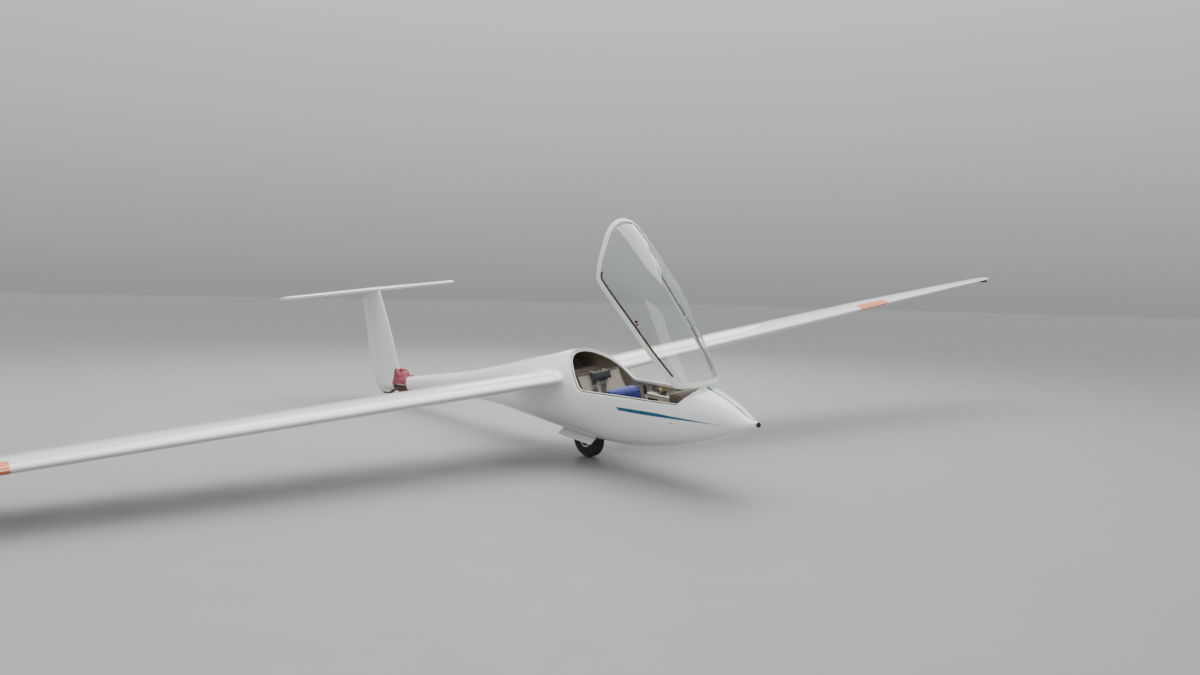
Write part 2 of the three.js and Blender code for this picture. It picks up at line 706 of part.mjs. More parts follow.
function makeInterior() {
  const inside = cavity(24);
  const lining = cavity(SKIN + TOUCH);
  const seat = (points) => sidePrism(strip(points, SEAT_WALL), [-235, 235]).intersect(inside);
  const headrest = [[1698, 246], [1746, 246], [1768, 290], [1775, 308], [1742, 326], [1716, 314]];
  const cushion = [
    [1022, -98], [1062, -119], [1200, -180], [1340, -187], [1436, -148],
    [1462, -86], [1330, -118], [1180, -104], [1030, -60],
  ];
  const backPad = [
    [1396, -92], [1384, 40], [1390, 148], [1412, 178], [1490, 186], [1556, 146],
    [1612, 66], [1566, -24], [1488, -80],
  ];
  const column = [[610, -300], [730, -300], [730, 62], [610, 62]];
  const binnacle = [[600, 60], [745, 60], [735, 200], [665, 214], [612, 140]];
  add("seat_pan", seat(SEAT_PAN), "liner");
  add("seat_back", seat(SEAT_BACK), "liner");
  const backCut = sidePrism(strip(SEAT_BACK, SEAT_WALL + 2 * TOUCH), [-300, 300]);
  add("headrest", sidePrism(headrest, [-95, 95]).subtract(backCut), "panel");
  add("seat_cushion", sidePrism(cushion, [-190, 190]), "cushion");
  add("back_cushion", sidePrism(backPad, [-150, 150]), "cushion");
  const pod = sidePrism(column, [-60, 60]).add(sidePrism(binnacle, [-130, 130]));
  add("instrument_pedestal", pod.intersect(lining), "panel");
  const neck = [[960, -205], [972, -90], [1018, -18], [1095, 24], [1139, 70], [1159, 158]];
  const stick = union(
    rod(at(960, 0, -250), at(960, 0, -203), 38, 30, 20),
    tube(neck.map(([station, z]) => at(station, 0, z)), 8, 10, 5),
    rod(at(1158, 0, 154), at(1168, 0, 232), 14, 16, 12),
  );
  add("control_stick", stick.intersect(lining), "panel");
  const pedal = (y) => sidePrism([[440, -70], [452, -70], [478, 62], [466, 62]], [y - 32, y + 32]);
  const bar = rod(at(448, -112, -62), at(448, 112, -62), 9, 9, 12);
  const post = box([436, 460], [-9, 9], [-220, -62]);
  add("rudder_pedals", union(pedal(-78), pedal(78), bar, post).intersect(lining), "alloy");
  const panelling = cavity(SKIN + 1.2);
  const panelSkin = panelling.subtract(cavity(SKIN + 9));
  const top = (station) => 85 + (station - 1108) * 0.1;
  const [fore, aft] = [770, 1394];
  const lid = [[fore, top(fore) - 8], [fore, top(fore)], [aft, top(aft)], [aft, top(aft) - 8]];
  const cheek = [[fore, -50], [fore, top(fore) - 4], [aft, top(aft) - 4], [aft, -50]];
  const chest = sidePrism(lid, [194, 400]).add(sidePrism(cheek, [194, 202])).intersect(panelling);
  const knob = (station, lean) => (
    rod(at(station, 232, top(station) - 4), at(station + lean, 222, top(station) + 58), 6, 11, 10)
  );
  const liner = panelSkin.intersect(box([740, 1600], [140, 400], [-130, 112])).add(chest);
  const left = union(liner, knob(930, -30), knob(1080, -22), knob(1240, -16));
  const right = union(liner, knob(980, -24)).mirror([0, 1, 0]);
  add("side_console_left", left, "liner");
  add("side_console_right", right, "liner");
}

makeInterior();

// Nose ring and release hook
function makeNoseRing() {
  const ring = wheel([[10, -8], [18, -8], [18, 4], [15, 8], [10, 8]], 16);
  return ring.rotate([0, 0, 90]).translate([8.3, 0, -0.5]);
}

add("nose_ring", makeNoseRing(), "rubber");

function makeHook() {
  const outside = bodyLoft(POD_STATIONS, -TOUCH);
  const block = sidePrism([[1580, -240], [1590, -286], [1650, -290], [1672, -240]], [-20, 20]);
  const slot = sidePrism([[1612, -300], [1612, -276], [1634, -276], [1634, -300]], [-6, 6]);
  return block.subtract(outside).subtract(slot);
}

add("tow_hook", makeHook(), "steel");

// Main wheel, its fork and the doors of its well
const AXLE = { radius: 10, bore: 10.6 };

function makeFork() {
  const { station, z } = MAIN_WHEEL;
  const leg = (y) => sidePrism([[1968, -322], [2032, -322], [2058, -76], [1994, -76]], [y - 5, y + 5]);
  const trunnion = rod(at(2026, -WELL.half + TOUCH, -92), at(2026, WELL.half - TOUCH, -92), 12);
  const axle = rod(at(station, -86, z), at(station, 86, z), AXLE.radius, AXLE.radius, 20);
  return union(leg(-76), leg(76), trunnion, axle);
}

const mirrorProfile = (half) => [...half, ...half.map(([r, a]) => [r, -a]).reverse()];
const RIM_PROFILE = [
  [AXLE.bore, -54], [22, -54], [22, -24], [60, -17], [64, -46], [80, -50], [80, -46.5], [70.5, -43],
  [70.5, 43], [80, 46.5], [80, 50], [64, 46], [60, 17], [22, 24], [22, 54], [AXLE.bore, 54],
];
const TYRE_PROFILE = mirrorProfile([
  [71, -41], [81, -44.5], [108, -60], [135, -62.5], [156, -54], [169, -37], [174.5, -16],
]);

const wheelAt = (profile, segments, station, z) => wheel(profile, segments).translate([-station, 0, z]);
add("gear_fork", makeFork(), "steel");
add("main_rim", wheelAt(RIM_PROFILE, 20, MAIN_WHEEL.station, MAIN_WHEEL.z), "alloy");
const mainTyre = wheelAt(TYRE_PROFILE, 32, MAIN_WHEEL.station, MAIN_WHEEL.z);
add("main_tyre", mainTyre, "rubber");
joints.main_wheel = {
  pivot: at(MAIN_WHEEL.station, 0, MAIN_WHEEL.z),
  axis: new THREE.Vector3(0, 1, 0),
};

function makeDoor() {
  const plate = panel(
    [at(1730, 96, -234), at(2198, 96, -182), at(2202, 190, -238), at(1728, 190, -291)],
    [0, 2.5, 5],
  );
  const link = rod(at(1990, 82, -200), at(1990, 150, -240), 5, 5, 10);
  const eye = rod(at(1990, 81.4, -200), at(1990, 88, -200), 10, 10, 12);
  return union(plate, link, eye).subtract(bodyLoft(POD_STATIONS, -TOUCH));
}

const door = makeDoor();
add("gear_door_left", door, "gelcoat");
add("gear_door_right", mirrored(door), "gelcoat");

// Ground level, from the lowest point of the main tyre in the parked attitude
const world = (point) => point.clone().applyMatrix4(datum.matrixWorld);
const fromWorld = (point) => point.clone().applyMatrix4(datum.matrixWorld.clone().invert());
const tyreBox = new THREE.Box3().setFromObject(datum.getObjectByName("main_tyre"), true);
const GROUND = tyreBox.min.z;

// Height of the ground over a point, in the datum frame
function groundUnder(station, y) {
  const up = new THREE.Vector3(0, 0, 1).applyQuaternion(datum.quaternion.clone().invert());
  const { x } = at(station, y, 0);
  return (GROUND - up.x * x - up.y * y) / up.z;
}

// Wing tip skids: the low one stands on the ground
function makeTipSkid() {
  const y = -7425;
  const half = 9;
  const [front, rear] = [2040, 2210];
  const low = [front + 20, rear - 15].map((station) => groundUnder(station, y - half));
  const profile = [
    [front, low[0] + 60], [front + 20, low[0]], [rear - 15, low[1]], [rear, low[1] + 60],
  ];
  const blade = sidePrism(profile, [y - half, y + half]);
  return blade.subtract(wingLoft(wingYs, 0.0035).mirror([0, 1, 0]));
}

const skid = makeTipSkid().decompose().sort((a, b) => a.boundingBox().min[2] - b.boundingBox().min[2])[0];
add("tip_skid_right", skid, "rubber");
add("tip_skid_left", mirrored(skid), "rubber");

// Tail skid under the fin
function makeTailSkid() {
  const profile = [[6100, -60], [6126, -92], [6200, -124], [6270, -141], [6480, -146], [6500, -100]];
  const lowered = finLoft(1).translate([0, 0, -1]);
  const outside = bodyLoft(BOOM_STATIONS, -TOUCH).add(finLoft(1)).add(lowered);
  return sidePrism(profile, [-17, 17]).subtract(outside);
}

add("tail_skid", makeTailSkid(), "dolly_red");

// Tail dolly: a clamp round the boom, its handle and a castor
const DOLLY = { front: 5560, rear: 5940, split: 14, wall: 13, bottom: -118 };

// Crest of the dolly's upper half: height, front station, half width
const CREST = [[20, 5772, 97], [60, 5776, 87], [124, 5798, 71], [164, 5864, 62], [206, 5926, 55]];
const CASTOR_HEIGHTS = { crown: 124, plate: 8, pin: 172 };

function makeDolly() {
  const { front, rear, split, wall, bottom } = DOLLY;
  const stations = [front, ...BOOM_STATIONS.filter((s) => s > front && s < rear), rear];
  const shell = loft(stations.map((station) => bodyRing(station, -wall)));
  const crest = CREST.map(([z, fore, half]) => (
    [at(fore, -half, z), at(fore, half, z), at(rear - 2, half, z), at(rear - 2, -half, z)]
  ));
  const outer = shell.add(loft(crest));
  const held = bodyLoft(BOOM_STATIONS, -TOUCH).add(finLoft(1));
  const upperHalf = box([front - 50, rear + 50], [-300, 300], [split + TOUCH, 400]);
  const lowerHalf = box([front - 50, rear + 50], [-300, 300], [-300, split]);
  const block = box([CASTOR.station - 42, rear], [-34, 34], [bottom, -40]);
  const swivelFoot = world(at(CASTOR.station, 0, bottom));
  const hole = [-20, 36].map((rise) => fromWorld(swivelFoot.clone().add(new THREE.Vector3(0, 0, rise))));
  const socket = rod(hole[0], hole[1], 11, 11, 20);
  const bar = tube(
    [[5900, 176], [5840, 186], [5760, 187], [5690, 184], [5656, 164], [5648, 116]].map(([s, z]) => at(s, 0, z)),
    11,
    14,
    8,
  );
  const sloped = sidePrism([[front - 60, 70], [front, 70], [front + 76, 132], [front + 76, 300], [front - 60, 300]]);
  const upper = outer.intersect(upperHalf).subtract(sloped).subtract(held);
  const lower = shell.intersect(lowerHalf).add(block).subtract(held).subtract(socket);
  add("dolly_upper_clamp", upper.add(bar.subtract(held)), "dolly_red");
  add("dolly_lower_clamp", lower, "dolly_red");
  return swivelFoot;
}

const swivel = makeDolly();
const castor = new THREE.Group();
castor.position.set(swivel.x, swivel.y, GROUND);

function makeCastor() {
  const { trail, radius, width, rim } = CASTOR;
  const { crown, plate, pin } = CASTOR_HEIGHTS;
  const spot = (x, y, z) => new THREE.Vector3(x, y, z);
  const side = (y) => sidePrism(
    [[trail - 18, radius - 14], [trail + 18, radius - 14], [trail + 14, crown], [-16, crown], [-6, crown - 14]],
    [y - 3, y + 3],
  );
  const top = box([-20, trail + 14], [-31, 31], [crown, crown + plate]);
  const stem = rod(spot(0, 0, crown + 2), spot(0, 0, pin), 10, 10, 20);
  const axle = rod(spot(-trail, -30, radius), spot(-trail, 30, radius), 6, 6, 16);
  const turned = (profile) => wheel(profile, 18).translate([-trail, 0, radius]);
  add("castor_fork", union(side(-28), side(28), top, stem, axle), "steel", castor);
  const hub = mirrorProfile([[6.5, -20], [12, -20], [12, -15], [rim, -15]]);
  add("castor_rim", turned(hub), "alloy", castor);
  const half = width / 2;
  const tread = mirrorProfile([
    [rim + TOUCH, -14], [radius - 16, -half], [radius - 6, -half + 3], [radius, -half + 10],
  ]);
  add("castor_tyre", turned(tread), "rubber", castor);
  joints.castor_swivel = { pivot: fromWorld(swivel), axis: "up" };
  joints.castor_wheel = { pivot: castor.position.clone().add(spot(-trail, 0, radius)), axis: "across" };
}

makeCastor();

const group = new THREE.Group();
group.add(datum, castor);
const extent = new THREE.Box3().setFromObject(group, true);
const middle = extent.getCenter(new THREE.Vector3());
group.position.set(-middle.x, -middle.y, -extent.min.z);
group.userData.joints = joints;

export default group;
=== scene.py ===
"""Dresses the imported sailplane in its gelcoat, perspex, cockpit and running gear, on a studio floor.

Shapes are made in millimetres in the maker's datum: origin at the nose tip, X forward, Y to port, Z up,
stations counted aft from the nose. They are set on the ground by one matrix at the end.
"""

import json
import math

import bmesh
import bpy
import numpy as np
from bpy.props import FloatProperty, FloatVectorProperty, PointerProperty
from mathutils import Matrix, Vector


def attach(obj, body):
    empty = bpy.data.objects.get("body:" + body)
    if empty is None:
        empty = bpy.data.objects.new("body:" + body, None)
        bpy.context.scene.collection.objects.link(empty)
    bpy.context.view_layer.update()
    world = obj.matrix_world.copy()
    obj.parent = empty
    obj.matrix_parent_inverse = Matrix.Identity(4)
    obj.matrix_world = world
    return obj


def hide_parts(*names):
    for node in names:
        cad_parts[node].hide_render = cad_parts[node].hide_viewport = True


bl_info = {
    "name": "Parked Sailplane",
    "version": (1, 0, 0),
    "blender": (4, 5, 0),
    "location": "View3D > Sidebar > Sailplane",
    "description": "Skins, canopy, cockpit, gear and dolly of a parked sailplane, on a studio floor",
    "category": "Add Mesh",
}

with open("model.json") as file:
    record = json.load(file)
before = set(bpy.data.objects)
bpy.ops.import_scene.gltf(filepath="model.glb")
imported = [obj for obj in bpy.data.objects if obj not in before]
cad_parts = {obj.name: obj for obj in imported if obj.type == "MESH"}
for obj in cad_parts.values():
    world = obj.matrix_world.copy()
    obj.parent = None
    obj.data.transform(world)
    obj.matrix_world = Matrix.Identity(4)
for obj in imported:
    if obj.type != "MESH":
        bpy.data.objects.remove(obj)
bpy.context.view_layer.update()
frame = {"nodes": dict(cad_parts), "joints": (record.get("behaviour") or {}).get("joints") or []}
JOINTS = {joint["name"]: joint for joint in frame["joints"]}

# Attitude on the ground, and where the datum lies in the frame
ROLL, PITCH = 6.83, 2.9
LEAN = Matrix.Rotation(math.radians(-PITCH), 4, "Y") @ Matrix.Rotation(math.radians(ROLL), 4, "X")
MAIN_AXLE = (2000, -291)
AXLE_SPOT = Vector((-MAIN_AXLE[0] / 1000, 0, MAIN_AXLE[1] / 1000))
TO_ROW = Matrix.Translation(Vector(JOINTS["main_wheel_spin"]["pos_m"]) - LEAN @ AXLE_SPOT) @ LEAN
SWIVEL = Vector(JOINTS["castor_swivel"]["pos_m"])
CASTOR_ROW = Matrix.Translation((SWIVEL.x, SWIVEL.y, 0))

# Fuselage: station, half width, top, bottom
BODY = np.array([
    (0, 20, 17, -18), (60, 65, 38, -40), (200, 135, 125, -88), (450, 215, 238, -163),
    (800, 274, 361, -232), (1200, 303, 487, -272), (1600, 332, 507, -266), (2000, 319, 513, -229),
    (2400, 290, 461, -184), (2800, 240, 406, -144), (3300, 175, 335, -92), (4000, 128, 246, -55),
    (4800, 108, 175, -65), (5800, 88, 100, -75), (6500, 58, 55, -75),
], float)
UPPER_POWER, LOWER_POWER, SHOULDER = 2.1, 2.3, 0.47
SKIN = 9
BOOM_END = 6490

# Wing: distance from the centre line, chord, leading edge station, height, thickness
WING = np.array([
    (150, 950, 1866, 278, 0.158), (362, 915, 1868, 284, 0.154), (2400, 815, 1895, 346, 0.147),
    (4600, 705, 1924, 412, 0.136), (6400, 500, 1948, 458, 0.132), (7200, 400, 1962, 476, 0.13),
    (7340, 360, 1976, 478, 0.126), (7430, 285, 2012, 480, 0.12), (7500, 150, 2085, 481, 0.1),
], float)
INCIDENCE = math.radians(2.6)
CAMBER = 0.022
ROOT_Y, TIP_Y = 362, 7500
AILERON = {"inner": 4780, "outer": 7230, "hinge": 0.79, "limit": 18}
BRAKE = {"inner": 2050, "outer": 3200, "chord": 0.5, "width": 34, "floor": 22}

# Tailplane: distance from the centre line, chord, leading edge station
TAILPLANE = np.array([
    (0, 520, 6225), (700, 430, 6278), (1080, 375, 6310), (1140, 330, 6330), (1156, 250, 6365),
], float)
TAIL_HEIGHT, TAIL_THICKNESS, ELEVATOR_STATION, ELEVATOR_END = 1231, 0.115, 6589, 1090

# Fin: height, leading edge station, trailing edge station, thickness over chord
FIN = np.array([
    (-120, 6240, 6600, 0.12), (-80, 6150, 6672, 0.13), (0, 6010, 6738, 0.145), (60, 5850, 6790, 0.125),
    (207, 5917, 6800, 0.112), (566, 6000, 6800, 0.108), (900, 6105, 6800, 0.108), (1225, 6228, 6800, 0.11),
], float)
RUDDER_LOW, RUDDER_HIGH = (6505, -118), (6600, 1176)
RUDDER_SLOPE = 1092
FAIRING = 6630, 60, (168, 78, 17)

# Cockpit opening seen from the side: station, height, corner radius
OPENING = [
    (330, 379, 0), (570, 138, 50), (1000, 165, 400), (1645, 197, 110),
    (1830, 390, 300), (2160, 640, 0), (2160, 900, 0), (330, 900, 0),
]
CANOPY_HINGE = (437, 203)

# Wheel well: stations of its ends, and half width
WELL_FROM, WELL_TO, WELL_HALF = 1772, 2228, 104
CANOPY_OPEN = math.radians(-JOINTS["canopy_hinge"]["range_deg"][0])


# Curves and surfaces
def smooth(rows, column, place):
    """A table's column on a smooth curve between its rows"""
    x, y = rows[:, 0], rows[:, column]
    gap = np.diff(x)
    slope = np.diff(y) / gap
    lean = np.empty_like(y)
    lean[0], lean[-1] = slope[0], slope[-1]
    lean[1:-1] = (gap[1:] * slope[:-1] + gap[:-1] * slope[1:]) / (gap[1:] + gap[:-1])
    i = np.clip(np.searchsorted(x, place) - 1, 0, len(gap) - 1)
    u = (place - x[i]) / gap[i]
    bend = u * (1 - u) * gap[i] * ((1 - u) * lean[i] - u * lean[i + 1])
    return y[i] + (y[i + 1] - y[i]) * u * u * (3 - 2 * u) + bend


def straight(rows, column, place):
    return np.interp(place, rows[:, 0], rows[:, column])


def hull_sizes(station, inset=0):
    half = smooth(BODY, 1, station) - inset
    top = smooth(BODY, 2, station) - inset
    bottom = smooth(BODY, 3, station) + inset
    return half, bottom + SHOULDER * (top - bottom), top, bottom


def hull_point(station, angle, inset=0):
    """A point of the fuselage's skin at a station and an angle up from the port side"""
    half, middle, top, bottom = hull_sizes(station, inset)
    across, up = np.cos(angle), np.sin(angle)
    power = 2 / np.where(up >= 0, UPPER_POWER, LOWER_POWER)
    reach = np.where(up >= 0, top - middle, middle - bottom)
    y = np.sign(across) * np.abs(across) ** power * half
    return np.stack([-station + 0 * y, y, middle + np.sign(up) * np.abs(up) ** power * reach], -1)


def hull_field(points):
    """0 at the middle of the fuselage and 1 on its skin"""
    half, middle, top, bottom = hull_sizes(-points[..., 0])
    up = points[..., 2] - middle
    power = np.where(up >= 0, UPPER_POWER, LOWER_POWER)
    reach = np.where(up >= 0, top - middle, middle - bottom)
    total = np.abs(points[..., 1] / half) ** power + np.abs(up / reach) ** power
    return total ** (1 / power)


def hull_normal(points):
    step = 0.5
    slopes = [hull_field(points + step * axis) - hull_field(points - step * axis) for axis in np.eye(3)]
    normal = np.stack(slopes, -1)
    return normal / np.linalg.norm(normal, axis=-1, keepdims=True)


def on_hull(points, depth=0):
    """Points moved square to the axis on to the skin, then in by a depth"""
    _, middle, _, _ = hull_sizes(-points[..., 0])
    scale = 1 / np.maximum(hull_field(points), 1e-6)
    moved = points.copy()
    moved[..., 1] *= scale
    moved[..., 2] = middle + (moved[..., 2] - middle) * scale
    return moved - hull_normal(moved) * np.expand_dims(np.broadcast_to(depth, moved.shape[:-1]), -1)


def hull_side(station, height, inset=0):
    """Half width of the fuselage at a station and a height"""
    half, middle, top, bottom = hull_sizes(station, inset)
    up = height - middle
    power = np.where(up >= 0, UPPER_POWER, LOWER_POWER)
    reach = np.where(up >= 0, top - middle, middle - bottom)
    return half * np.clip(1 - np.abs(up / reach) ** power, 0, 1) ** (1 / power)


def hull_height(station, y, inset=0, under=False):
    """Height of the fuselage's top or underside at a station and a distance from its middle"""
    half, middle, top, bottom = hull_sizes(station, inset)
    power, end = (LOWER_POWER, bottom) if under else (UPPER_POWER, top)
    return middle + (end - middle) * np.clip(1 - np.abs(y / half) ** power, 0, 1) ** (1 / power)


def rounded(corners, steps=12):
    """A polygon with its corners turned to curves"""
    line = []
    for i, (x, y, radius) in enumerate(corners):
        here = np.array((x, y), float)
        back = np.array(corners[i - 1][:2], float) - here
        ahead = np.array(corners[(i + 1) % len(corners)][:2], float) - here
        lengths = np.linalg.norm(back), np.linalg.norm(ahead)
        turn = math.pi - math.acos(np.clip(back @ ahead / lengths[0] / lengths[1], -1, 1))
        trim = min(radius * math.tan(turn / 2), lengths[0] * 0.45, lengths[1] * 0.45)
        start, stop = here + back / lengths[0] * trim, here + ahead / lengths[1] * trim
        if trim < 1e-6:
            line.append(here)
            continue
        for t in np.linspace(0, 1, steps):
            line.append((1 - t) ** 2 * start + 2 * t * (1 - t) * here + t * t * stop)
    return np.array(line)


SIDE_LINE = rounded(OPENING)


def inside_opening(station, height):
    """Distance inside the cockpit opening, seen from the side; negative outside it"""
    p = np.stack([station, height], -1)[..., None, :]
    a, b = SIDE_LINE, np.roll(SIDE_LINE, -1, 0)
    along = b - a
    t = np.clip(((p - a) * along).sum(-1) / (along ** 2).sum(-1), 0, 1)
    distance = np.linalg.norm(p - a - t[..., None] * along, axis=-1).min(-1)
    low, high = a[:, 1] > p[..., 1], b[:, 1] > p[..., 1]
    with np.errstate(divide="ignore", invalid="ignore"):
        cross = a[:, 0] + (p[..., 1] - a[:, 1]) / (b[:, 1] - a[:, 1]) * along[:, 0]
    hits = ((low != high) & (p[..., 0] < cross)).sum(-1)
    return np.where(hits % 2 == 1, distance, -distance)


def resampled(line, count, closed=False):
    """A line's points, spread evenly along it"""
    if closed:
        line = np.vstack([line, line[:1]])
    gaps = np.linalg.norm(np.diff(line, axis=0), axis=1)
    run = np.concatenate([[0], np.cumsum(gaps)])
    places = np.linspace(0, run[-1], count + (1 if closed else 0))
    if closed:
        places = places[:-1]
    return np.stack([np.interp(places, run, line[:, i]) for i in range(line.shape[1])], 1)


def opening_loop(count):
    """The edge of the cockpit opening on the skin, from its front round to starboard, aft and to port"""
    dense = resampled(SIDE_LINE[:-2], 9000)
    s, z = dense[:, 0], dense[:, 1]
    _, _, top, _ = hull_sizes(s)
    keep = z <= top
    s, z = s[keep], z[keep]
    y = hull_side(s, z)
    y[0] = y[-1] = 0
    starboard = np.stack([-s, -y, z], 1)
    port = np.stack([-s, y, z], 1)[::-1][1:-1]
    return resampled(np.vstack([starboard, port]), count, closed=True)


def tangents(line, closed):
    ahead = np.roll(line, -1, 0) - np.roll(line, 1, 0)
    if not closed:
        ahead[0], ahead[-1] = line[1] - line[0], line[-1] - line[-2]
    return ahead / np.linalg.norm(ahead, axis=1, keepdims=True)


def away(section, middle=0.0):
    """Directions out of a section, square to its line"""
    along = tangents(section, False)
    out = np.stack([-along[:, 1], along[:, 0]], 1)
    return out * np.sign((out[:, 1] * (section[:, 1] - middle)).sum())


def flared(foot, meet, over, count):
    """Lines on a curve from a foot to a rim, drawn towards the corner where the two would meet"""
    return [(1 - t) ** 2 * foot + 2 * t * (1 - t) * meet + t * t * over for t in np.linspace(0, 1, count)]


def edge_rings(loop, profile):
    """Sections along the opening's edge, from a profile of distances into the opening and depths"""
    inward = np.cross(tangents(loop, True), hull_normal(loop))
    return np.stack([on_hull(loop + inward * across, depth) for across, depth in profile], 1)


def half_thickness(x, thickness):
    w = x ** 1.12
    series = 0.2969 * np.sqrt(w) - 0.126 * w - 0.3516 * w ** 2 + 0.2843 * w ** 3 - 0.1015 * w ** 4
    return np.maximum(5 * thickness * series, 0.0012)


def camber_line(x, camber):
    return 4 * camber * x * (1 - x)


def wing_point(y, x, h):
    """A point of the wing's section: share of the chord and height over it, both in chords"""
    chord = straight(WING, 1, y)
    aft = chord * (x * math.cos(INCIDENCE) + h * math.sin(INCIDENCE))
    up = chord * (h * math.cos(INCIDENCE) - x * math.sin(INCIDENCE))
    return np.stack([-(straight(WING, 2, y) + aft), y + 0 * aft, straight(WING, 3, y) + up], -1)


def wing_ring(y, section):
    return wing_point(np.full(len(section), float(y)), section[:, 0], section[:, 1])


def wing_sizes(y):
    """Chord, and thickness over chord, at a distance from the centre line"""
    return straight(WING, 1, y), straight(WING, 4, y)


def tip_share(past, span):
    """How much of a section's thickness is left past the place where a tip starts to close"""
    return math.sqrt(max(1 - max(past / span, 0) ** 2, 0.003))


def spaced(start, stop, count):
    """Shares of a chord, close together at both ends"""
    return start + (stop - start) * (1 - np.cos(np.linspace(0, math.pi, count))) / 2


def section_lines(x, thickness, camber):
    """The upper and the lower line of a section"""
    half, bend = half_thickness(x, thickness), camber_line(x, camber)
    return np.stack([x, bend + half], 1), np.stack([x, bend - half], 1)


def section_whole(thickness, camber, count=30):
    upper, lower = section_lines(spaced(0, 1, count), thickness, camber)
    return np.vstack([upper[::-1], lower[1:]])


def hollow_arc(centre, first, last, count):
    """Points between two others on an arc about a centre"""
    arms = [point - centre for point in (first, last)]
    turn = np.linspace(*(math.atan2(arm[1], arm[0]) % math.tau for arm in arms), count)[1:-1]
    reach = np.linspace(*(np.linalg.norm(arm) for arm in arms), count)[1:-1]
    return centre + np.stack([np.cos(turn), np.sin(turn)], 1) * reach[:, None]


def section_front(thickness, camber, hinge, gap, count=30, arc=9):
    """The part of a section ahead of its flap, with a hollow for the flap's nose"""
    upper, lower = section_lines(spaced(0, hinge - gap, count), thickness, camber)
    hollow = hollow_arc(np.array([hinge, camber_line(hinge, camber)]), lower[-1], upper[-1], arc)
    return np.vstack([upper[::-1], lower[1:], hollow])


def section_flap(thickness, camber, hinge, shy=0.0, count=16, arc=13):
    """The part of a section behind its hinge, with a round nose"""
    x = hinge + (1 - hinge) * np.linspace(0, 1, count) ** 0.8
    upper, lower = section_lines(x, thickness, camber)
    turn = np.linspace(math.pi / 2, 1.5 * math.pi, arc)[1:-1]
    radius = (upper[0, 1] - lower[0, 1]) / 2 - shy
    nose = (upper[0] + lower[0]) / 2 + radius * np.stack([np.cos(turn), np.sin(turn)], 1)
    return np.vstack([upper[::-1], nose, lower])


# Meshes
WELD = 0.00002
PAINT = 0.35
SIDES = (("left", 1), ("right", -1))


def loft(rings, closed=False, round_about=True):
    """Faces between rings of points, with the ends filled"""
    rings = np.asarray(rings, float)
    total, count = rings.shape[:2]
    faces = []
    for r in range(total if closed else total - 1):
        a, b = r * count, (r + 1) % total * count
        for k in range(count if round_about else count - 1):
            n = (k + 1) % count
            faces.append((a + k, a + n, b + n, b + k))
    if not closed and round_about:
        faces.append(tuple(range(count)))
        faces.append(tuple(range(total * count - 1, (total - 1) * count - 1, -1)))
    return rings.reshape(-1, 3), faces


def joined(*shapes):
    points, faces = [], []
    for verts, polygons in shapes:
        start = sum(len(p) for p in points)
        points.append(np.asarray(verts, float))
        faces += [tuple(start + i for i in polygon) for polygon in polygons]
    return np.vstack(points), faces


def mirrored(shape):
    points, faces = shape
    return np.asarray(points) * (1, -1, 1), faces


def sided(shape, side):
    """A port shape as it is, or on the starboard side"""
    return shape if side > 0 else mirrored(shape)


def folded(outer, inner):
    """One ring round a thin wall: out along one line and back along the other"""
    return np.vstack([outer, inner[::-1]])


def trimmed(surface, us, vs, field):
    """A surface over a grid, cut exactly where a field of its two values rises through 0"""
    grid_u, grid_v = np.meshgrid(us, vs, indexing="ij")
    value = field(grid_u, grid_v)
    rows, columns = value.shape
    places, index, cuts, faces = [], {}, {}, []

    def node(i, j):
        key = i * columns + j
        if key not in index:
            index[key] = len(places)
            places.append((grid_u[i, j], grid_v[i, j]))
        return index[key]

    def cut(a, b):
        key = min(a, b), max(a, b)
        if key not in cuts:
            low, high = (a, b) if value[a] < 0 else (b, a)
            near = np.array((grid_u[low], grid_v[low]))
            far = np.array((grid_u[high], grid_v[high]))
            for _ in range(12):
                half = (near + far) / 2
                if field(half[0:1], half[1:2])[0] < 0:
                    near = half
                else:
                    far = half
            cuts[key] = len(places)
            places.append(tuple(near))
        return cuts[key]

    keep = value < 0
    for i in range(rows - 1):
        for j in range(columns - 1):
            corners = (i, j), (i + 1, j), (i + 1, j + 1), (i, j + 1)
            inside = [keep[c] for c in corners]
            if not any(inside):
                continue
            polygon = []
            for k, corner in enumerate(corners):
                after = corners[(k + 1) % 4]
                if keep[corner]:
                    polygon.append(node(*corner))
                if keep[corner] != keep[after]:
                    polygon.append(cut(corner, after))
            faces.append(tuple(polygon))
    spots = np.array(places)
    return surface(spots[:, 0], spots[:, 1]), faces


def bar(line, radius, sides=12, closed=False, flat=1.0, up=(0, 0, 1)):
    """A round or flattened bar along a line. The radius may change along it"""
    line = np.asarray(line, float)
    along = tangents(line, closed)
    side = np.cross(along, np.broadcast_to(np.asarray(up, float), along.shape))
    weak = np.linalg.norm(side, axis=1) < 1e-3
    side[weak] = np.cross(along[weak], (0, 1, 0))
    side /= np.linalg.norm(side, axis=1, keepdims=True)
    lift = np.cross(side, along)
    turn = np.linspace(0, math.tau, sides, endpoint=False)
    reach = np.broadcast_to(np.asarray(radius, float), (len(line),))[:, None, None]
    across = side[:, None] * np.cos(turn)[None, :, None]
    rise = lift[:, None] * np.sin(turn)[None, :, None] * flat
    return loft(line[:, None] + reach * (across + rise), closed=closed)


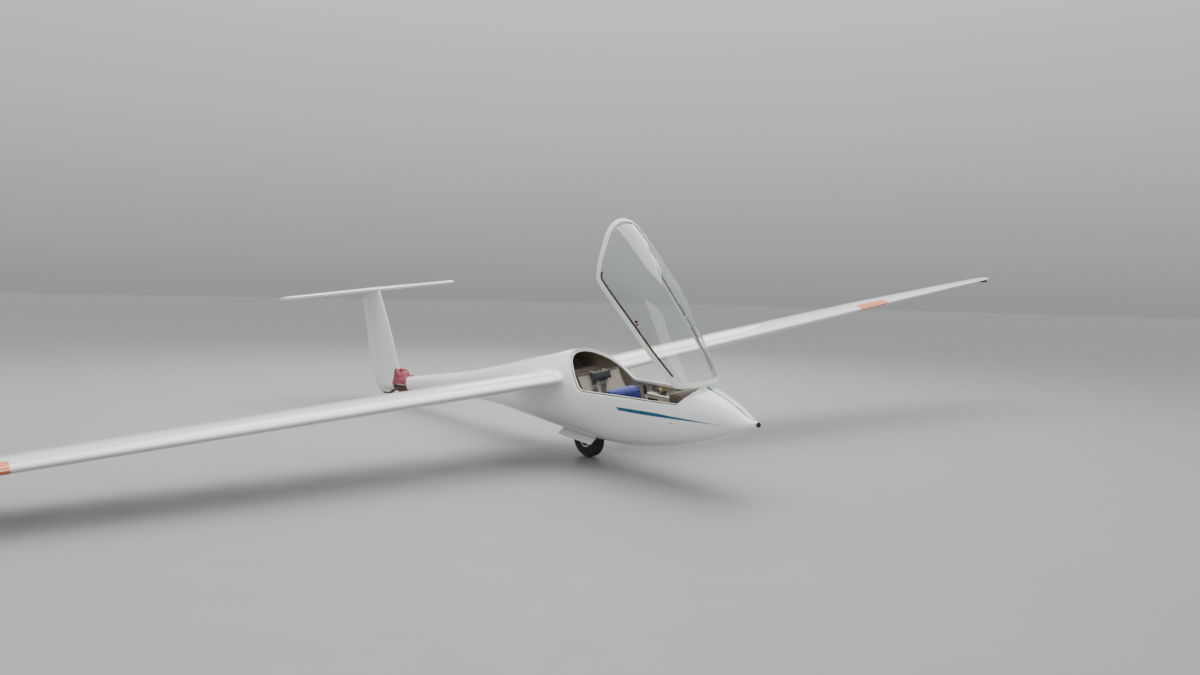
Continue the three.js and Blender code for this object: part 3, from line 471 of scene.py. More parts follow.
def strap(line, normals, width, thickness):
    """A flat band along a line, lying square to the normals"""
    line, normals = np.asarray(line, float), np.asarray(normals, float)
    normals = normals / np.linalg.norm(normals, axis=1, keepdims=True)
    side = np.cross(tangents(line, False), normals)
    side /= np.linalg.norm(side, axis=1, keepdims=True)
    w, t = width / 2, thickness / 2
    section = [(-w, -t), (-w * 0.9, -t * 1.2), (w * 0.9, -t * 1.2), (w, -t), (w, t), (w * 0.9, t * 1.2),
               (-w * 0.9, t * 1.2), (-w, t)]
    return loft(np.stack([line + side * a + normals * b for a, b in section], 1))


def lathe(profile, segments, centre=(0, 0, 0)):
    """A closed profile of radius and distance along Y, turned about the Y axis"""
    turn = np.linspace(0, math.tau, segments, endpoint=False)
    radius, along = np.array(profile, float).T
    rings = np.stack([
        np.cos(turn)[:, None] * radius, np.broadcast_to(along, (segments, len(along))),
        np.sin(turn)[:, None] * radius,
    ], -1)
    return loft(rings + np.asarray(centre, float), closed=True)


def slab(outline, low, high, axis=1):
    """A flat plate: its outline in two directions, and its two faces along the third"""
    outline = np.asarray(outline, float)
    return loft([np.insert(outline, axis, level, axis=1) for level in (low, high)])


def side_view(outline):
    """An outline given as station and height, turned to X and Z"""
    return np.asarray(outline, float) * (-1, 1)


def make(name, shape, look, body="airframe", place=TO_ROW, angle=32, outward=True):
    """A mesh piece: set in the frame, welded, turned outwards, shaded, and given its finish and body"""
    points, faces = shape
    mesh = bpy.data.meshes.new(name)
    mesh.from_pydata([tuple(p) for p in np.asarray(points, float) / 1000], [], faces)
    mesh.transform(place)
    made = bmesh.new()
    made.from_mesh(mesh)
    bmesh.ops.remove_doubles(made, verts=made.verts, dist=WELD)
    bmesh.ops.dissolve_degenerate(made, edges=made.edges, dist=WELD / 2)
    if outward:
        bmesh.ops.recalc_face_normals(made, faces=made.faces)
    made.to_mesh(mesh)
    made.free()
    thing = bpy.data.objects.new(name, mesh)
    bpy.context.scene.collection.objects.link(thing)
    mesh.materials.append(FINISHES[look])
    shade(mesh, angle)
    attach(thing, body)
    return thing


def shade(mesh, angle=32):
    for polygon in mesh.polygons:
        polygon.use_smooth = True
    mesh.set_sharp_from_angle(angle=math.radians(angle))


def baked(thing, angle=32):
    """The piece with its modifiers made part of the mesh"""
    bpy.context.view_layer.update()
    result = bpy.data.meshes.new_from_object(thing.evaluated_get(bpy.context.evaluated_depsgraph_get()))
    old = thing.data
    thing.modifiers.clear()
    thing.data = result
    result.name = thing.name
    bpy.data.meshes.remove(old)
    shade(result, angle)
    return thing


def walled(thing, thickness, inner=None):
    """Gives an open sheet a wall on its inner side, with its own finish inside"""
    if inner:
        thing.data.materials.append(FINISHES[inner])
    solid = thing.modifiers.new("wall", "SOLIDIFY")
    solid.thickness = thickness / 1000
    solid.offset = -1
    solid.use_even_offset = True
    solid.material_offset = 1 if inner else 0
    return baked(thing)


def bevelled(thing, width, segments=2):
    bevel = thing.modifiers.new("edges", "BEVEL")
    bevel.width = width / 1000
    bevel.segments = segments
    bevel.limit_method = "ANGLE"
    bevel.angle_limit = math.radians(35)
    return baked(thing)


# Finishes
class Graph:
    """Adds nodes to a tree and joins them"""

    def __init__(self, tree):
        self.tree = tree

    def node(self, kind, inputs=None, **settings):
        made = self.tree.nodes.new(kind)
        for key, value in settings.items():
            setattr(made, key, value)
        for key, value in (inputs or {}).items():
            self.feed(made.inputs[key], value)
        return made

    def feed(self, socket, value):
        if isinstance(value, bpy.types.NodeSocket):
            self.tree.links.new(value, socket)
        else:
            socket.default_value = value

    def math(self, operation, *values, clamp=False):
        inputs = dict(enumerate(values))
        return self.node("ShaderNodeMath", inputs, operation=operation, use_clamp=clamp).outputs[0]

    def mix(self, factor, a, b, kind="RGBA", blend="MIX"):
        made = self.node("ShaderNodeMix", data_type=kind, blend_type=blend)
        sockets = {"RGBA": (0, 6, 7, 2), "FLOAT": (0, 2, 3, 0)}[kind]
        for socket, value in zip(sockets[:3], (factor, a, b)):
            self.feed(made.inputs[socket], value)
        return made.outputs[sockets[3]]

    def noise(self, vector, scale, detail=3.0, roughness=0.55):
        inputs = {"Vector": vector, "Scale": scale, "Detail": detail, "Roughness": roughness}
        return self.node("ShaderNodeTexNoise", inputs).outputs["Fac"]

    def ramp(self, value, low, high, start=0.0, stop=1.0):
        inputs = {"Value": value, "From Min": low, "From Max": high, "To Min": start, "To Max": stop}
        return self.node("ShaderNodeMapRange", inputs).outputs["Result"]

    def group(self, name, **inputs):
        made = self.tree.nodes.new("ShaderNodeGroup")
        made.node_tree = bpy.data.node_groups[name]
        for key, value in inputs.items():
            self.feed(made.inputs[key.replace("_", " ")], value)
        return made


def new_group(name, inputs, outputs):
    tree = bpy.data.node_groups.new(name, "ShaderNodeTree")
    for kind, sockets in (("INPUT", inputs), ("OUTPUT", outputs)):
        for label, (socket_type, default) in sockets.items():
            made = tree.interface.new_socket(label, in_out=kind, socket_type=f"NodeSocket{socket_type}")
            if default is not None:
                made.default_value = default
    graph = Graph(tree)
    start = tree.nodes.new("NodeGroupInput").outputs
    end = tree.nodes.new("NodeGroupOutput").inputs
    return graph, start, end


def make_groups():
    """Effects that several finishes share"""
    colour, number, vector = ("Color", (0.5, 0.5, 0.5, 1)), ("Float", 0.5), ("Vector", None)

    # Dust and faint stains over a colour
    graph, start, end = new_group(
        "weathered",
        {"Vector": vector, "Color": colour, "Dust": colour, "Scale": number, "Amount": number,
         "Roughness": number, "Spread": number},
        {"Color": colour, "Roughness": number},
    )
    broad = graph.noise(start["Vector"], start["Scale"], 5.0, 0.6)
    fine = graph.noise(start["Vector"], graph.math("MULTIPLY", start["Scale"], 9.0), 4.0, 0.65)
    level = graph.math("ADD", graph.math("MULTIPLY", broad, 0.7), graph.math("MULTIPLY", fine, 0.3))
    mask = graph.ramp(level, 0.42, 0.72)
    amount = graph.math("MULTIPLY", mask, start["Amount"])
    graph.feed(end["Color"], graph.mix(amount, start["Color"], start["Dust"]))
    spread = graph.math("MULTIPLY", mask, start["Spread"])
    graph.feed(end["Roughness"], graph.math("ADD", start["Roughness"], spread, clamp=True))

    # A fine uneven surface
    graph, start, end = new_group(
        "grain",
        {"Vector": vector, "Scale": number, "Strength": number, "Depth": number},
        {"Normal": vector},
    )
    height = graph.noise(start["Vector"], start["Scale"], 3.0, 0.6)
    bump = graph.node("ShaderNodeBump",
                      {"Strength": start["Strength"], "Distance": start["Depth"], "Height": height})
    graph.feed(end["Normal"], bump.outputs["Normal"])

    # Woven threads across two directions
    graph, start, end = new_group(
        "weave",
        {"Vector": vector, "Thread": number, "Color": colour, "Shadow": colour, "Strength": number},
        {"Color": colour, "Normal": vector},
    )
    threads = []
    for stretch in ((1, 0.15, 1), (0.15, 1, 0.15)):
        drawn = graph.node("ShaderNodeMapping", {"Vector": start["Vector"], "Scale": stretch}).outputs[0]
        threads.append(graph.noise(drawn, start["Thread"], 2.0))
    height = graph.ramp(graph.math("MULTIPLY", *threads), 0.13, 0.40)
    bump = graph.node("ShaderNodeBump", {"Strength": start["Strength"], "Distance": 0.0006, "Height": height})
    graph.feed(end["Color"], graph.mix(height, start["Shadow"], start["Color"]))
    graph.feed(end["Normal"], bump.outputs["Normal"])

    # Worn and brushed metal or paint
    graph, start, end = new_group(
        "scuffed",
        {"Vector": vector, "Color": colour, "Bare": colour, "Scale": number, "Amount": number,
         "Roughness": number},
        {"Color": colour, "Roughness": number},
    )
    stretched = graph.node("ShaderNodeMapping", {"Vector": start["Vector"], "Scale": (1, 1, 7)}).outputs[0]
    scratch = graph.noise(stretched, start["Scale"], 6.0, 0.7)
    blotch = graph.noise(start["Vector"], graph.math("MULTIPLY", start["Scale"], 0.25), 4.0)
    level = graph.math("ADD", graph.math("MULTIPLY", scratch, 0.6), graph.math("MULTIPLY", blotch, 0.4))
    mask = graph.math("MULTIPLY", graph.ramp(level, 0.53, 0.62), start["Amount"])
    graph.feed(end["Color"], graph.mix(mask, start["Color"], start["Bare"]))
    rough = graph.math("ADD", start["Roughness"], graph.math("MULTIPLY", scratch, 0.16), clamp=True)
    graph.feed(end["Roughness"], rough)


FINISHES = {}


def finish(name, **settings):
    """A material with a principled shader, its fixed settings made on the shader's own sockets"""
    material = bpy.data.materials.new(name)
    material.use_nodes = True
    graph = Graph(material.node_tree)
    shader = material.node_tree.nodes["Principled BSDF"]
    for key, value in settings.items():
        shader.inputs[key.replace("_", " ")].default_value = value
    place = graph.node("ShaderNodeTexCoord").outputs["Object"]
    FINISHES[name] = material
    return graph, shader, place


def wire(graph, shader, **links):
    for key, value in links.items():
        graph.feed(shader.inputs[key.replace("_", " ")], value)


def opaque(colour):
    return (*colour, 1)


def surfaced(graph, shader, place, worn, grain=None):
    """Joins an effect to a shader, with a grain given as its scale, strength and depth"""
    wire(graph, shader, Base_Color=worn.outputs["Color"], Roughness=worn.outputs["Roughness"])
    if grain:
        scale, strength, depth = grain
        fine = graph.group("grain", Vector=place, Scale=scale, Strength=strength, Depth=depth)
        wire(graph, shader, Normal=fine.outputs["Normal"])


def dusted(name, colour, dust, scale, amount, rough, spread, grain=None, **settings):
    """A finish with dust and stains over its colour"""
    graph, shader, place = finish(name, **settings)
    worn = graph.group("weathered", Vector=place, Color=opaque(colour), Dust=opaque(dust), Scale=scale,
                       Amount=amount, Roughness=rough, Spread=spread)
    surfaced(graph, shader, place, worn, grain)


def make_finishes(sizes):
    """Every finish of the aircraft, by name"""
    make_groups()
    dusted("gelcoat_white", sizes.gelcoat_colour, (0.60, 0.59, 0.54), 1.6, 0.16, 0.17, 0.12,
           (7.0, 0.05, 0.004),
           Coat_Weight=0.6, Coat_Roughness=0.05, Specular_IOR_Level=0.5)
    dusted("frame_satin", (0.80, 0.80, 0.77), (0.45, 0.43, 0.38), 6.0, 0.35, 0.34, 0.2, (260.0, 0.12, 0.0006),
           Coat_Weight=0.2, Coat_Roughness=0.2)
    dusted("perspex_clear", sizes.canopy_tint, (0.80, 0.82, 0.82), 5.0, 0.3, 0.015, 0.03,
           Transmission_Weight=1.0, IOR=1.45, Metallic=0.0)
    dusted("stripe_blue", sizes.stripe_colour, (0.03, 0.13, 0.19), 9.0, 0.3, 0.24, 0.2,
           Coat_Weight=0.5, Coat_Roughness=0.08)
    dusted("patch_orange", sizes.patch_colour, (0.55, 0.30, 0.16), 5.0, 0.4, 0.28, 0.2,
           Coat_Weight=0.4, Coat_Roughness=0.12)

    plain = {
        "liner_beige": ((0.36, 0.32, 0.255), (0.20, 0.17, 0.13), 0.62, 180.0, 14.0),
        "trim_brown": ((0.075, 0.052, 0.040), (0.16, 0.12, 0.09), 0.55, 240.0, 18.0),
        "panel_crackle": ((0.017, 0.017, 0.019), (0.07, 0.068, 0.062), 0.58, 520.0, 16.0),
        "rubber_matt": ((0.014, 0.014, 0.014), (0.075, 0.07, 0.062), 0.78, 300.0, 12.0),
        "knob_plastic": ((0.02, 0.02, 0.022), (0.06, 0.06, 0.06), 0.35, 150.0, 20.0),
        "knob_yellow": ((0.62, 0.44, 0.02), (0.4, 0.3, 0.1), 0.35, 150.0, 20.0),
        "knob_red": ((0.45, 0.02, 0.015), (0.25, 0.08, 0.07), 0.35, 150.0, 20.0),
        "knob_blue": ((0.02, 0.07, 0.32), (0.08, 0.12, 0.25), 0.35, 150.0, 20.0),
        "knob_green": ((0.02, 0.20, 0.06), (0.08, 0.2, 0.1), 0.35, 150.0, 20.0),
        "dial_black": ((0.008, 0.008, 0.009), (0.02, 0.02, 0.02), 0.5, 400.0, 20.0),
        "dial_white": ((0.78, 0.78, 0.74), (0.6, 0.6, 0.55), 0.5, 300.0, 20.0),
        "tape_white": ((0.78, 0.78, 0.76), (0.5, 0.48, 0.44), 0.42, 120.0, 10.0),
        "thread_brown": ((0.17, 0.13, 0.10), (0.08, 0.06, 0.05), 0.8, 500.0, 30.0),
        "strap_grey": ((0.34, 0.34, 0.33), (0.18, 0.16, 0.14), 0.75, 500.0, 30.0),
    }
    for name, (colour, dust, rough, bumps, scale) in plain.items():
        dusted(name, colour, dust, scale, 0.55, rough, 0.15, (bumps, 0.35, 0.0008))

    cloths = {
        "fabric_blue": (sizes.cushion_colour, (0.007, 0.010, 0.12), 1000.0, 0.5),
        "fabric_grey": ((0.09, 0.09, 0.10), (0.045, 0.045, 0.05), 900.0, 0.6),
        "webbing_brown": ((0.085, 0.062, 0.050), (0.03, 0.021, 0.017), 1100.0, 0.8),
        "leather_black": ((0.026, 0.025, 0.026), (0.012, 0.012, 0.012), 500.0, 0.3),
    }
    for name, (colour, shadow, thread, strength) in cloths.items():
        graph, shader, place = finish(name, Sheen_Weight=0.25, Sheen_Roughness=0.5)
        cloth = graph.group("weave", Vector=place, Thread=thread, Color=opaque(colour), Shadow=opaque(shadow),
                            Strength=strength)
        faded = tuple(0.6 * c + 0.06 for c in colour)
        worn = graph.group("weathered", Vector=place, Color=cloth.outputs["Color"], Dust=opaque(faded),
                           Scale=7.0, Amount=0.35, Roughness=0.78, Spread=0.12)
        surfaced(graph, shader, place, worn)
        wire(graph, shader, Normal=cloth.outputs["Normal"])

    metals = {
        "steel_zinc": ((0.42, 0.42, 0.41), (0.20, 0.17, 0.13), 1.0, 0.34, 60.0, 0.5),
        "alloy_worn": ((0.62, 0.63, 0.64), (0.36, 0.35, 0.33), 1.0, 0.30, 90.0, 0.5),
        "dolly_paint": (tuple(sizes.dolly_colour), (0.20, 0.12, 0.105), 0.0, 0.52, 26.0, 0.35),
        # The dolly's red at 0.4 of its brightness: painted shade, for the cradle under the boom, the castor
        # block and the pads
        "dolly_paint_shaded": (tuple(c * 0.4 for c in sizes.dolly_colour), (0.10, 0.065, 0.06), 0.0, 0.5, 26.0, 0.5),
        "dolly_grip": (tuple(sizes.grip_colour), (0.30, 0.12, 0.10), 0.0, 0.36, 26.0, 0.3),
    }
    for name, (colour, bare, metal, rough, scale, amount) in metals.items():
        graph, shader, place = finish(name, Metallic=metal)
        worn = graph.group("scuffed", Vector=place, Color=opaque(colour), Bare=opaque(bare), Scale=scale,
                           Amount=amount, Roughness=rough)
        surfaced(graph, shader, place, worn, (320.0, 0.15, 0.0005))

    # Tyre rubber, dusted on its tread
    dusted("tyre_dusty", (0.018, 0.018, 0.018), (0.14, 0.115, 0.085), 22.0, 0.6, 0.76, 0.18,
           (420.0, 0.3, 0.0006))

    # Studio floor
    graph, shader, place = finish("studio_floor")
    speck = graph.noise(place, 0.6, 4.0)
    low, high = (tuple(c * k for c in sizes.floor_colour) for k in (0.97, 1.03))
    wire(graph, shader, Base_Color=graph.mix(speck, opaque(low), opaque(high)),
         Roughness=graph.ramp(graph.noise(place, 3.0), 0.3, 0.7, 0.55, 0.68))


# Fuselage, wings and tail
def make_hull():
    """The one-piece fuselage: skin with a real wall, cockpit opening and wheel well"""
    front = np.concatenate([[0, 3, 8, 16], np.arange(30, 330, 15)])
    stations = np.concatenate([front, np.arange(330, 2340, 13), np.arange(2360, BOOM_END, 45), [BOOM_END]])
    angles = np.linspace(0, math.tau, 113)

    def field(station, angle):
        place = hull_point(station, angle)
        cockpit = inside_opening(station, place[..., 2]) + 2.5
        side = np.minimum(station - WELL_FROM, WELL_TO - station)
        side = np.minimum(side, WELL_HALF - np.abs(place[..., 1]))
        well = np.where(np.sin(angle) < -0.3, side, -999)
        return np.maximum(cockpit, well)

    points, faces = trimmed(hull_point, stations, angles, field)
    ends = []
    for station in (0, BOOM_END):
        ring = np.where(np.abs(points[:, 0] + station) < 0.01)[0]
        turn = np.arctan2(points[ring, 2] - points[ring, 2].mean(), points[ring, 1])
        ends.append(tuple(ring[np.argsort(turn)]))
    thing = make("hull_skin", (points, faces + ends), "gelcoat_white")
    walled(thing, SKIN, inner="liner_beige")
    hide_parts("fuselage_pod", "tail_boom_and_fin")


def root_fairing(side):
    """The stub of the wing on the fuselage, and the hollow fairing between the two"""
    thickness, spread, reach = 0.156, 46, 34
    section = resampled(section_whole(thickness, CAMBER, 46), 110)
    outward = away(section, camber_line(section[:, 0], CAMBER))
    y = np.full(len(section), 300.0)
    for _ in range(12):
        point = wing_point(y, section[:, 0], section[:, 1])
        y = 0.5 * y + 0.5 * hull_side(-point[:, 0], point[:, 2])
    meet = wing_point(y, section[:, 0], section[:, 1])
    grown = meet.copy()
    grown[:, 0] -= outward[:, 0] * spread
    grown[:, 2] += outward[:, 1] * spread
    grown[:, 1] = hull_side(-grown[:, 0], grown[:, 2])
    over = wing_point(np.minimum(y + reach, ROOT_Y - 6), section[:, 0], section[:, 1])
    rings = [on_hull(grown, 6)] + flared(grown, meet, over, 9)
    for share in (0.5, 1.0):
        across = (1 - share) * over[:, 1] + share * (ROOT_Y - 1)
        rings.append(wing_point(across, section[:, 0], section[:, 1]))
    wall = np.minimum(4, 480 * half_thickness(section[:, 0], thickness))
    inset = np.stack([outward[:, 0] * wall, np.zeros_like(wall), -outward[:, 1] * wall], 1)
    inside = [ring + inset for ring in rings]
    return sided(loft(rings + inside[::-1], closed=True), side)


def wing_rows():
    """Places along the span where a section is made, and what kind it is"""
    gap = 2.0
    rows = [(ROOT_Y, "whole"), (ROOT_Y + 250, "whole"), (1200, "whole"), (1700, "whole")]
    inner, outer = BRAKE["inner"], BRAKE["outer"]
    rows += [(inner, "whole"), (inner, "slot")] + [(y, "slot") for y in np.linspace(inner, outer, 6)[1:-1]]
    rows += [(outer, "slot"), (outer, "whole"), (3600, "whole"), (4100, "whole"), (4500, "whole")]
    start, stop = AILERON["inner"] - gap, AILERON["outer"] + gap
    rows += [(start, "whole"), (start, "front")] + [(y, "front") for y in np.linspace(start, stop, 12)[1:-1]]
    rows += [(stop, "front"), (stop, "whole")]
    tip = TIP_Y - 70 * (1 - np.sin(np.linspace(0, math.pi / 2, 11)))
    return rows + [(y, "whole") for y in (7300, 7340, 7385)] + [(y, "whole") for y in tip]


def wing_section(y, kind):
    """A wing section with the same count of points whatever is cut out of it"""
    chord, thickness = wing_sizes(y)
    thickness *= tip_share(y - (TIP_Y - 12), 12.5)
    slot = BRAKE["width"] / 2 / chord
    centre, hinge = BRAKE["chord"], AILERON["hinge"]
    nose = half_thickness(hinge, thickness)
    edge = hinge - nose * math.tan(math.radians(AILERON["limit"] / 2)) - 2.5 / chord
    upper_x = np.concatenate([
        spaced(edge, 1, 8)[1:][::-1], np.linspace(edge, centre + slot, 8), [centre + slot, centre - slot],
        (centre - slot) * (np.linspace(1, 0, 22) ** 2),
    ])
    lower_x = np.concatenate([(np.linspace(0, 1, 22)[1:] ** 2) * edge, spaced(edge, 1, 8)[1:]])
    upper = section_lines(upper_x, thickness, CAMBER)[0]
    lower = section_lines(lower_x, thickness, CAMBER)[1]
    if kind == "slot":
        upper[15:17, 1] = camber_line(centre, CAMBER) - (BRAKE["floor"] + 4) / chord
    if kind == "front":
        arc = hollow_arc(np.array([hinge, camber_line(hinge, CAMBER)]), upper[7], lower[20], 16)
        upper[:7] = arc[:7][::-1]
        lower[21:] = arc[7:][::-1]
    return wing_ring(y, np.vstack([upper, lower]))


def aileron_rings():
    rings = []
    gap = 2.5
    for y in np.linspace(AILERON["inner"] + gap, AILERON["outer"] - gap, 14):
        rings.append(wing_ring(y, section_flap(wing_sizes(y)[1], CAMBER, AILERON["hinge"])))
    return rings


def brake_cap():
    """The strip that closes the airbrake's slot, and the plate under it"""
    gap, deep = 1.6, 6.0
    inner, outer = BRAKE["inner"] + gap, BRAKE["outer"] - gap
    rings = []
    for y in np.linspace(inner, outer, 8):
        chord, thickness = wing_sizes(y)
        x = BRAKE["chord"] + np.linspace(-1, 1, 5) * (BRAKE["width"] / 2 - gap) / chord
        top = section_lines(x, thickness, CAMBER)[0]
        rings.append(wing_ring(y, folded(top, top - (0, deep / chord))))
    cap = loft(rings)
    blades = []
    for shift in (-8, 8):
        ends = []
        for y in (inner + 8, outer - 8):
            chord, thickness = wing_sizes(y)
            x = BRAKE["chord"] + (np.array([-1.4, 1.4, 1.4, -1.4]) + shift) / chord
            bend = camber_line(BRAKE["chord"], CAMBER)
            top = bend + half_thickness(BRAKE["chord"], thickness) - deep / chord
            floor = bend - (BRAKE["floor"] - 8) / chord
            ends.append(wing_ring(y, np.column_stack([x, (top, top, floor, floor)])))
        blades.append(loft(ends))
    return cap, joined(*blades)


def wing_shapes(side):
    """Wing, aileron, and the airbrake's cap and blades"""
    wing = loft([wing_section(y, kind) for y, kind in wing_rows()])
    return [sided(shape, side) for shape in (wing, loft(aileron_rings()), *brake_cap())]


def wing_patch(side):
    """The orange band round the wing's leading edge"""
    above, below = 0.13, 0.10
    section = np.concatenate([
        -np.linspace(above, 0, 14) ** 1.3 / above ** 0.3, np.linspace(0, below, 12)[1:] ** 1.3 / below ** 0.3,
    ])
    x = np.abs(section)
    sign = np.where(section < 0, 1, -1)
    nose = np.minimum(x / 0.012, 1)
    rings = []
    for y in np.linspace(4130, 4700, 5):
        chord, thickness = wing_sizes(y)
        loops = []
        for extra in (PAINT, -1.0):
            h = camber_line(x, CAMBER) + sign * (half_thickness(x, thickness) + extra / chord)
            loops.append(wing_ring(y, np.column_stack([x - (1 - nose) * extra / chord, h])))
        rings.append(folded(*loops))
    return sided(loft(rings), side)


def make_wings():
    """Wings, ailerons, airbrakes, root fairings and the orange bands on the leading edges"""
    for label, side in SIDES:
        wing, aileron, cap, blades = wing_shapes(side)
        skin = make(f"wing_skin_{label}", wing, "gelcoat_white", angle=34)
        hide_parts(f"wing_{label}")
        flap = make(f"aileron_skin_{label}", aileron, "gelcoat_white", f"aileron_{label}",
                    angle=40)
        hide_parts(f"aileron_{label}")
        lid = make(f"airbrake_cap_{label}", cap, "gelcoat_white", f"airbrake_{label}")
        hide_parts(f"airbrake_{label}")
        make(f"airbrake_blades_{label}", blades, "alloy_worn", f"airbrake_{label}")
        make(f"wing_root_fairing_{label}", root_fairing(side), "gelcoat_white", angle=50)
        make(f"wing_band_{label}", wing_patch(side), "patch_orange", angle=50)


def rudder_at(z):
    share = (z - RUDDER_LOW[1]) / (RUDDER_HIGH[1] - RUDDER_LOW[1])
    return RUDDER_LOW[0] + share * (RUDDER_HIGH[0] - RUDDER_LOW[0])


def fin_sizes(z):
    """Leading edge station, chord, and thickness over chord at a height"""
    lead = smooth(FIN, 1, z)
    return lead, smooth(FIN, 2, z) - lead, smooth(FIN, 3, z)


def fin_ring(section, z):
    lead, chord, _ = fin_sizes(z)
    return np.stack([-(lead + section[:, 0] * chord), section[:, 1] * chord,
                     np.full(len(section), float(z))], 1)


def fin_shapes():
    """The fin ahead of its rudder, and the rudder"""
    heights = np.concatenate([[-119, -112, -100], np.arange(-85, 1176, 35), [1176, 1183, 1200, 1228]])
    front = []
    for z in heights:
        lead, chord, thick = fin_sizes(z)
        hinge = (min(rudder_at(z), 6606) - lead) / chord
        gap = half_thickness(hinge, thick) * math.tan(math.radians(15)) + 3.5 / chord
        if z > 1178:
            gap = hinge - (6553 - lead) / chord
        front.append(fin_ring(section_front(thick, 0, hinge, gap, 34, 13), z))
    flap = []
    rows = np.concatenate([[-119, -114, -100], np.arange(-85, 1090, 40), [1090, 1130, 1174]])
    for z in rows:
        lead, chord, thick = fin_sizes(z)
        hinge = (rudder_at(z) - lead) / chord
        flap.append(fin_ring(section_flap(thick, 0, hinge, 0.8 / chord), z))
    rudder = np.array(flap)
    slope = (RUDDER_HIGH[1] - RUDDER_SLOPE) / (6900 - RUDDER_HIGH[0])
    limit = RUDDER_HIGH[1] - np.maximum(-rudder[:, :, 0] - RUDDER_HIGH[0], 0) * slope - 1
    rudder[:, :, 2] = np.minimum(rudder[:, :, 2], limit)
    return loft(front), loft(rudder)


def fin_fillet():
    """The hollow fairing where the fin grows out of the boom"""
    level, rise, spread = 96, 46, 34
    section = resampled(section_whole(0.121, 0, 46), 90)
    keep = section[section[:, 0] < 0.70]
    outward = away(keep)

    def boom_top(points):
        return hull_height(-points[:, 0], points[:, 1])

    def at_heights(z):
        lead, chord, _ = fin_sizes(z)
        return np.stack([-(lead + keep[:, 0] * chord), keep[:, 1] * chord, z], 1)

    meet = at_heights(np.full(len(keep), float(level)))
    for _ in range(6):
        meet = at_heights(boom_top(meet))
    meet[:, 2] = boom_top(meet)
    foot = meet.copy()
    foot[:, 0] -= outward[:, 0] * spread
    foot[:, 1] += outward[:, 1] * spread
    half = hull_sizes(-foot[:, 0])[0]
    foot[:, 1] = np.sign(foot[:, 1]) * np.minimum(np.abs(foot[:, 1]), half * 0.96)
    foot[:, 2] = boom_top(foot)
    over = at_heights(meet[:, 2] + rise)
    sunk = foot - (0, 0, 7)
    return loft([sunk, *flared(foot, meet, over, 8), over * (1, 0.6, 1), sunk * (1, 0.5, 1)], closed=True)


def lens(station, z, halves, cut_from=None, cut_to=None):
    """A flat lens about a point, kept between two stations"""
    low = cut_from or station - halves[0]
    high = cut_to or station + halves[0]
    rings = []
    turn = np.linspace(0, math.tau, 28, endpoint=False)
    for s in spaced(low, high, 13):
        k = math.sqrt(max(1 - ((s - station) / halves[0]) ** 2, 0.0004))
        rings.append(np.stack([np.full(28, -s), halves[1] * k * np.cos(turn),
                               z + halves[2] * k * np.sin(turn)], 1))
    return loft(rings)


def tail_sizes(y):
    """Chord, leading edge station and place of the elevator's hinge at a distance from the centre line"""
    chord, lead = straight(TAILPLANE, 1, abs(y)), straight(TAILPLANE, 2, abs(y))
    return chord, lead, (ELEVATOR_STATION - lead) / chord


def tail_ring(y, section):
    chord, lead, _ = tail_sizes(y)
    x, h = section.T * chord
    return np.stack([-(lead + x), np.full(len(x), float(y)), TAIL_HEIGHT + h], 1)


def tail_shapes():
    """The fixed tailplane and the elevator"""
    end = ELEVATOR_END + 2.5
    half_rows = [(0, "front"), (350, "front"), (700, "front"), (end, "front"), (end, "whole"),
                 (1120, "whole")]
    tip = 1156 - 16 * (1 - np.sin(np.linspace(0, math.pi / 2, 8)))
    half_rows += [(y, "whole") for y in tip]
    rows = [(-y, kind) for y, kind in half_rows[:0:-1]] + half_rows
    rings = []
    for y, kind in rows:
        chord, _, hinge = tail_sizes(y)
        thick = TAIL_THICKNESS * tip_share(abs(y) - 1148, 8.1)
        if kind == "front":
            gap = half_thickness(hinge, thick) * math.tan(math.radians(12.5)) + 3 / chord
            section = section_front(thick, 0, hinge, gap, 30, 13)
        else:
            section = resampled(section_whole(thick, 0, 40), 70)
        rings.append(tail_ring(y, section))
    flap = []
    for y in np.linspace(-ELEVATOR_END + 2.5, ELEVATOR_END - 2.5, 21):
        chord, _, hinge = tail_sizes(y)
        flap.append(tail_ring(y, section_flap(TAIL_THICKNESS, 0, hinge, 0.4 / chord)))
    return loft(rings), loft(flap)


def make_tail():
    """Fin, rudder, tailplane, elevator and the small fairings round them"""
    fin, rudder = fin_shapes()
    make("fin_skin", fin, "gelcoat_white", angle=40)
    make("fin_fillet", fin_fillet(), "gelcoat_white", angle=50)
    skin = make("rudder_skin", rudder, "gelcoat_white", "rudder", angle=40)
    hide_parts("rudder")
    make("rudder_fairing", lens(*FAIRING, cut_from=6562), "gelcoat_white", "rudder", angle=60)
    make("fin_fairing", lens(*FAIRING, cut_to=6492), "gelcoat_white", angle=60)
    plane, elevator = tail_shapes()
    skin = make("tailplane_skin", plane, "gelcoat_white", angle=40)
    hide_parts("tailplane")
    skin = make("elevator_skin", elevator, "gelcoat_white", "elevator", angle=40)
    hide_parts("elevator")


# Painted lines, on the skin
def side_place(line, side=1):
    """Stations and heights set on the skin of one side"""
    return np.stack([-line[:, 0], side * hull_side(line[:, 0], line[:, 1]), line[:, 1]], 1)


def skin_patch(top, bottom, depths=(-PAINT, 1.2), side=-1, count=40, across=6):
    """A curved plate between two lines of station and height on one side, at two depths under the skin"""
    rings = []
    for a, b in zip(resampled(np.array(top, float), count), resampled(np.array(bottom, float), count)):
        place = side_place(np.linspace(a, b, across), side)
        rings.append(folded(*(on_hull(place, depth) for depth in depths)))
    return loft(rings)


def curve_through(points, count=30):
    """A smooth line through points"""
    points = np.array(points, float)
    run = np.concatenate([[0], np.cumsum(np.linalg.norm(np.diff(points, axis=0), axis=1))])
    table = np.column_stack([run, points])
    places = np.linspace(0, run[-1], count)
    return np.stack([smooth(table, i + 1, places) for i in range(points.shape[1])], 1)


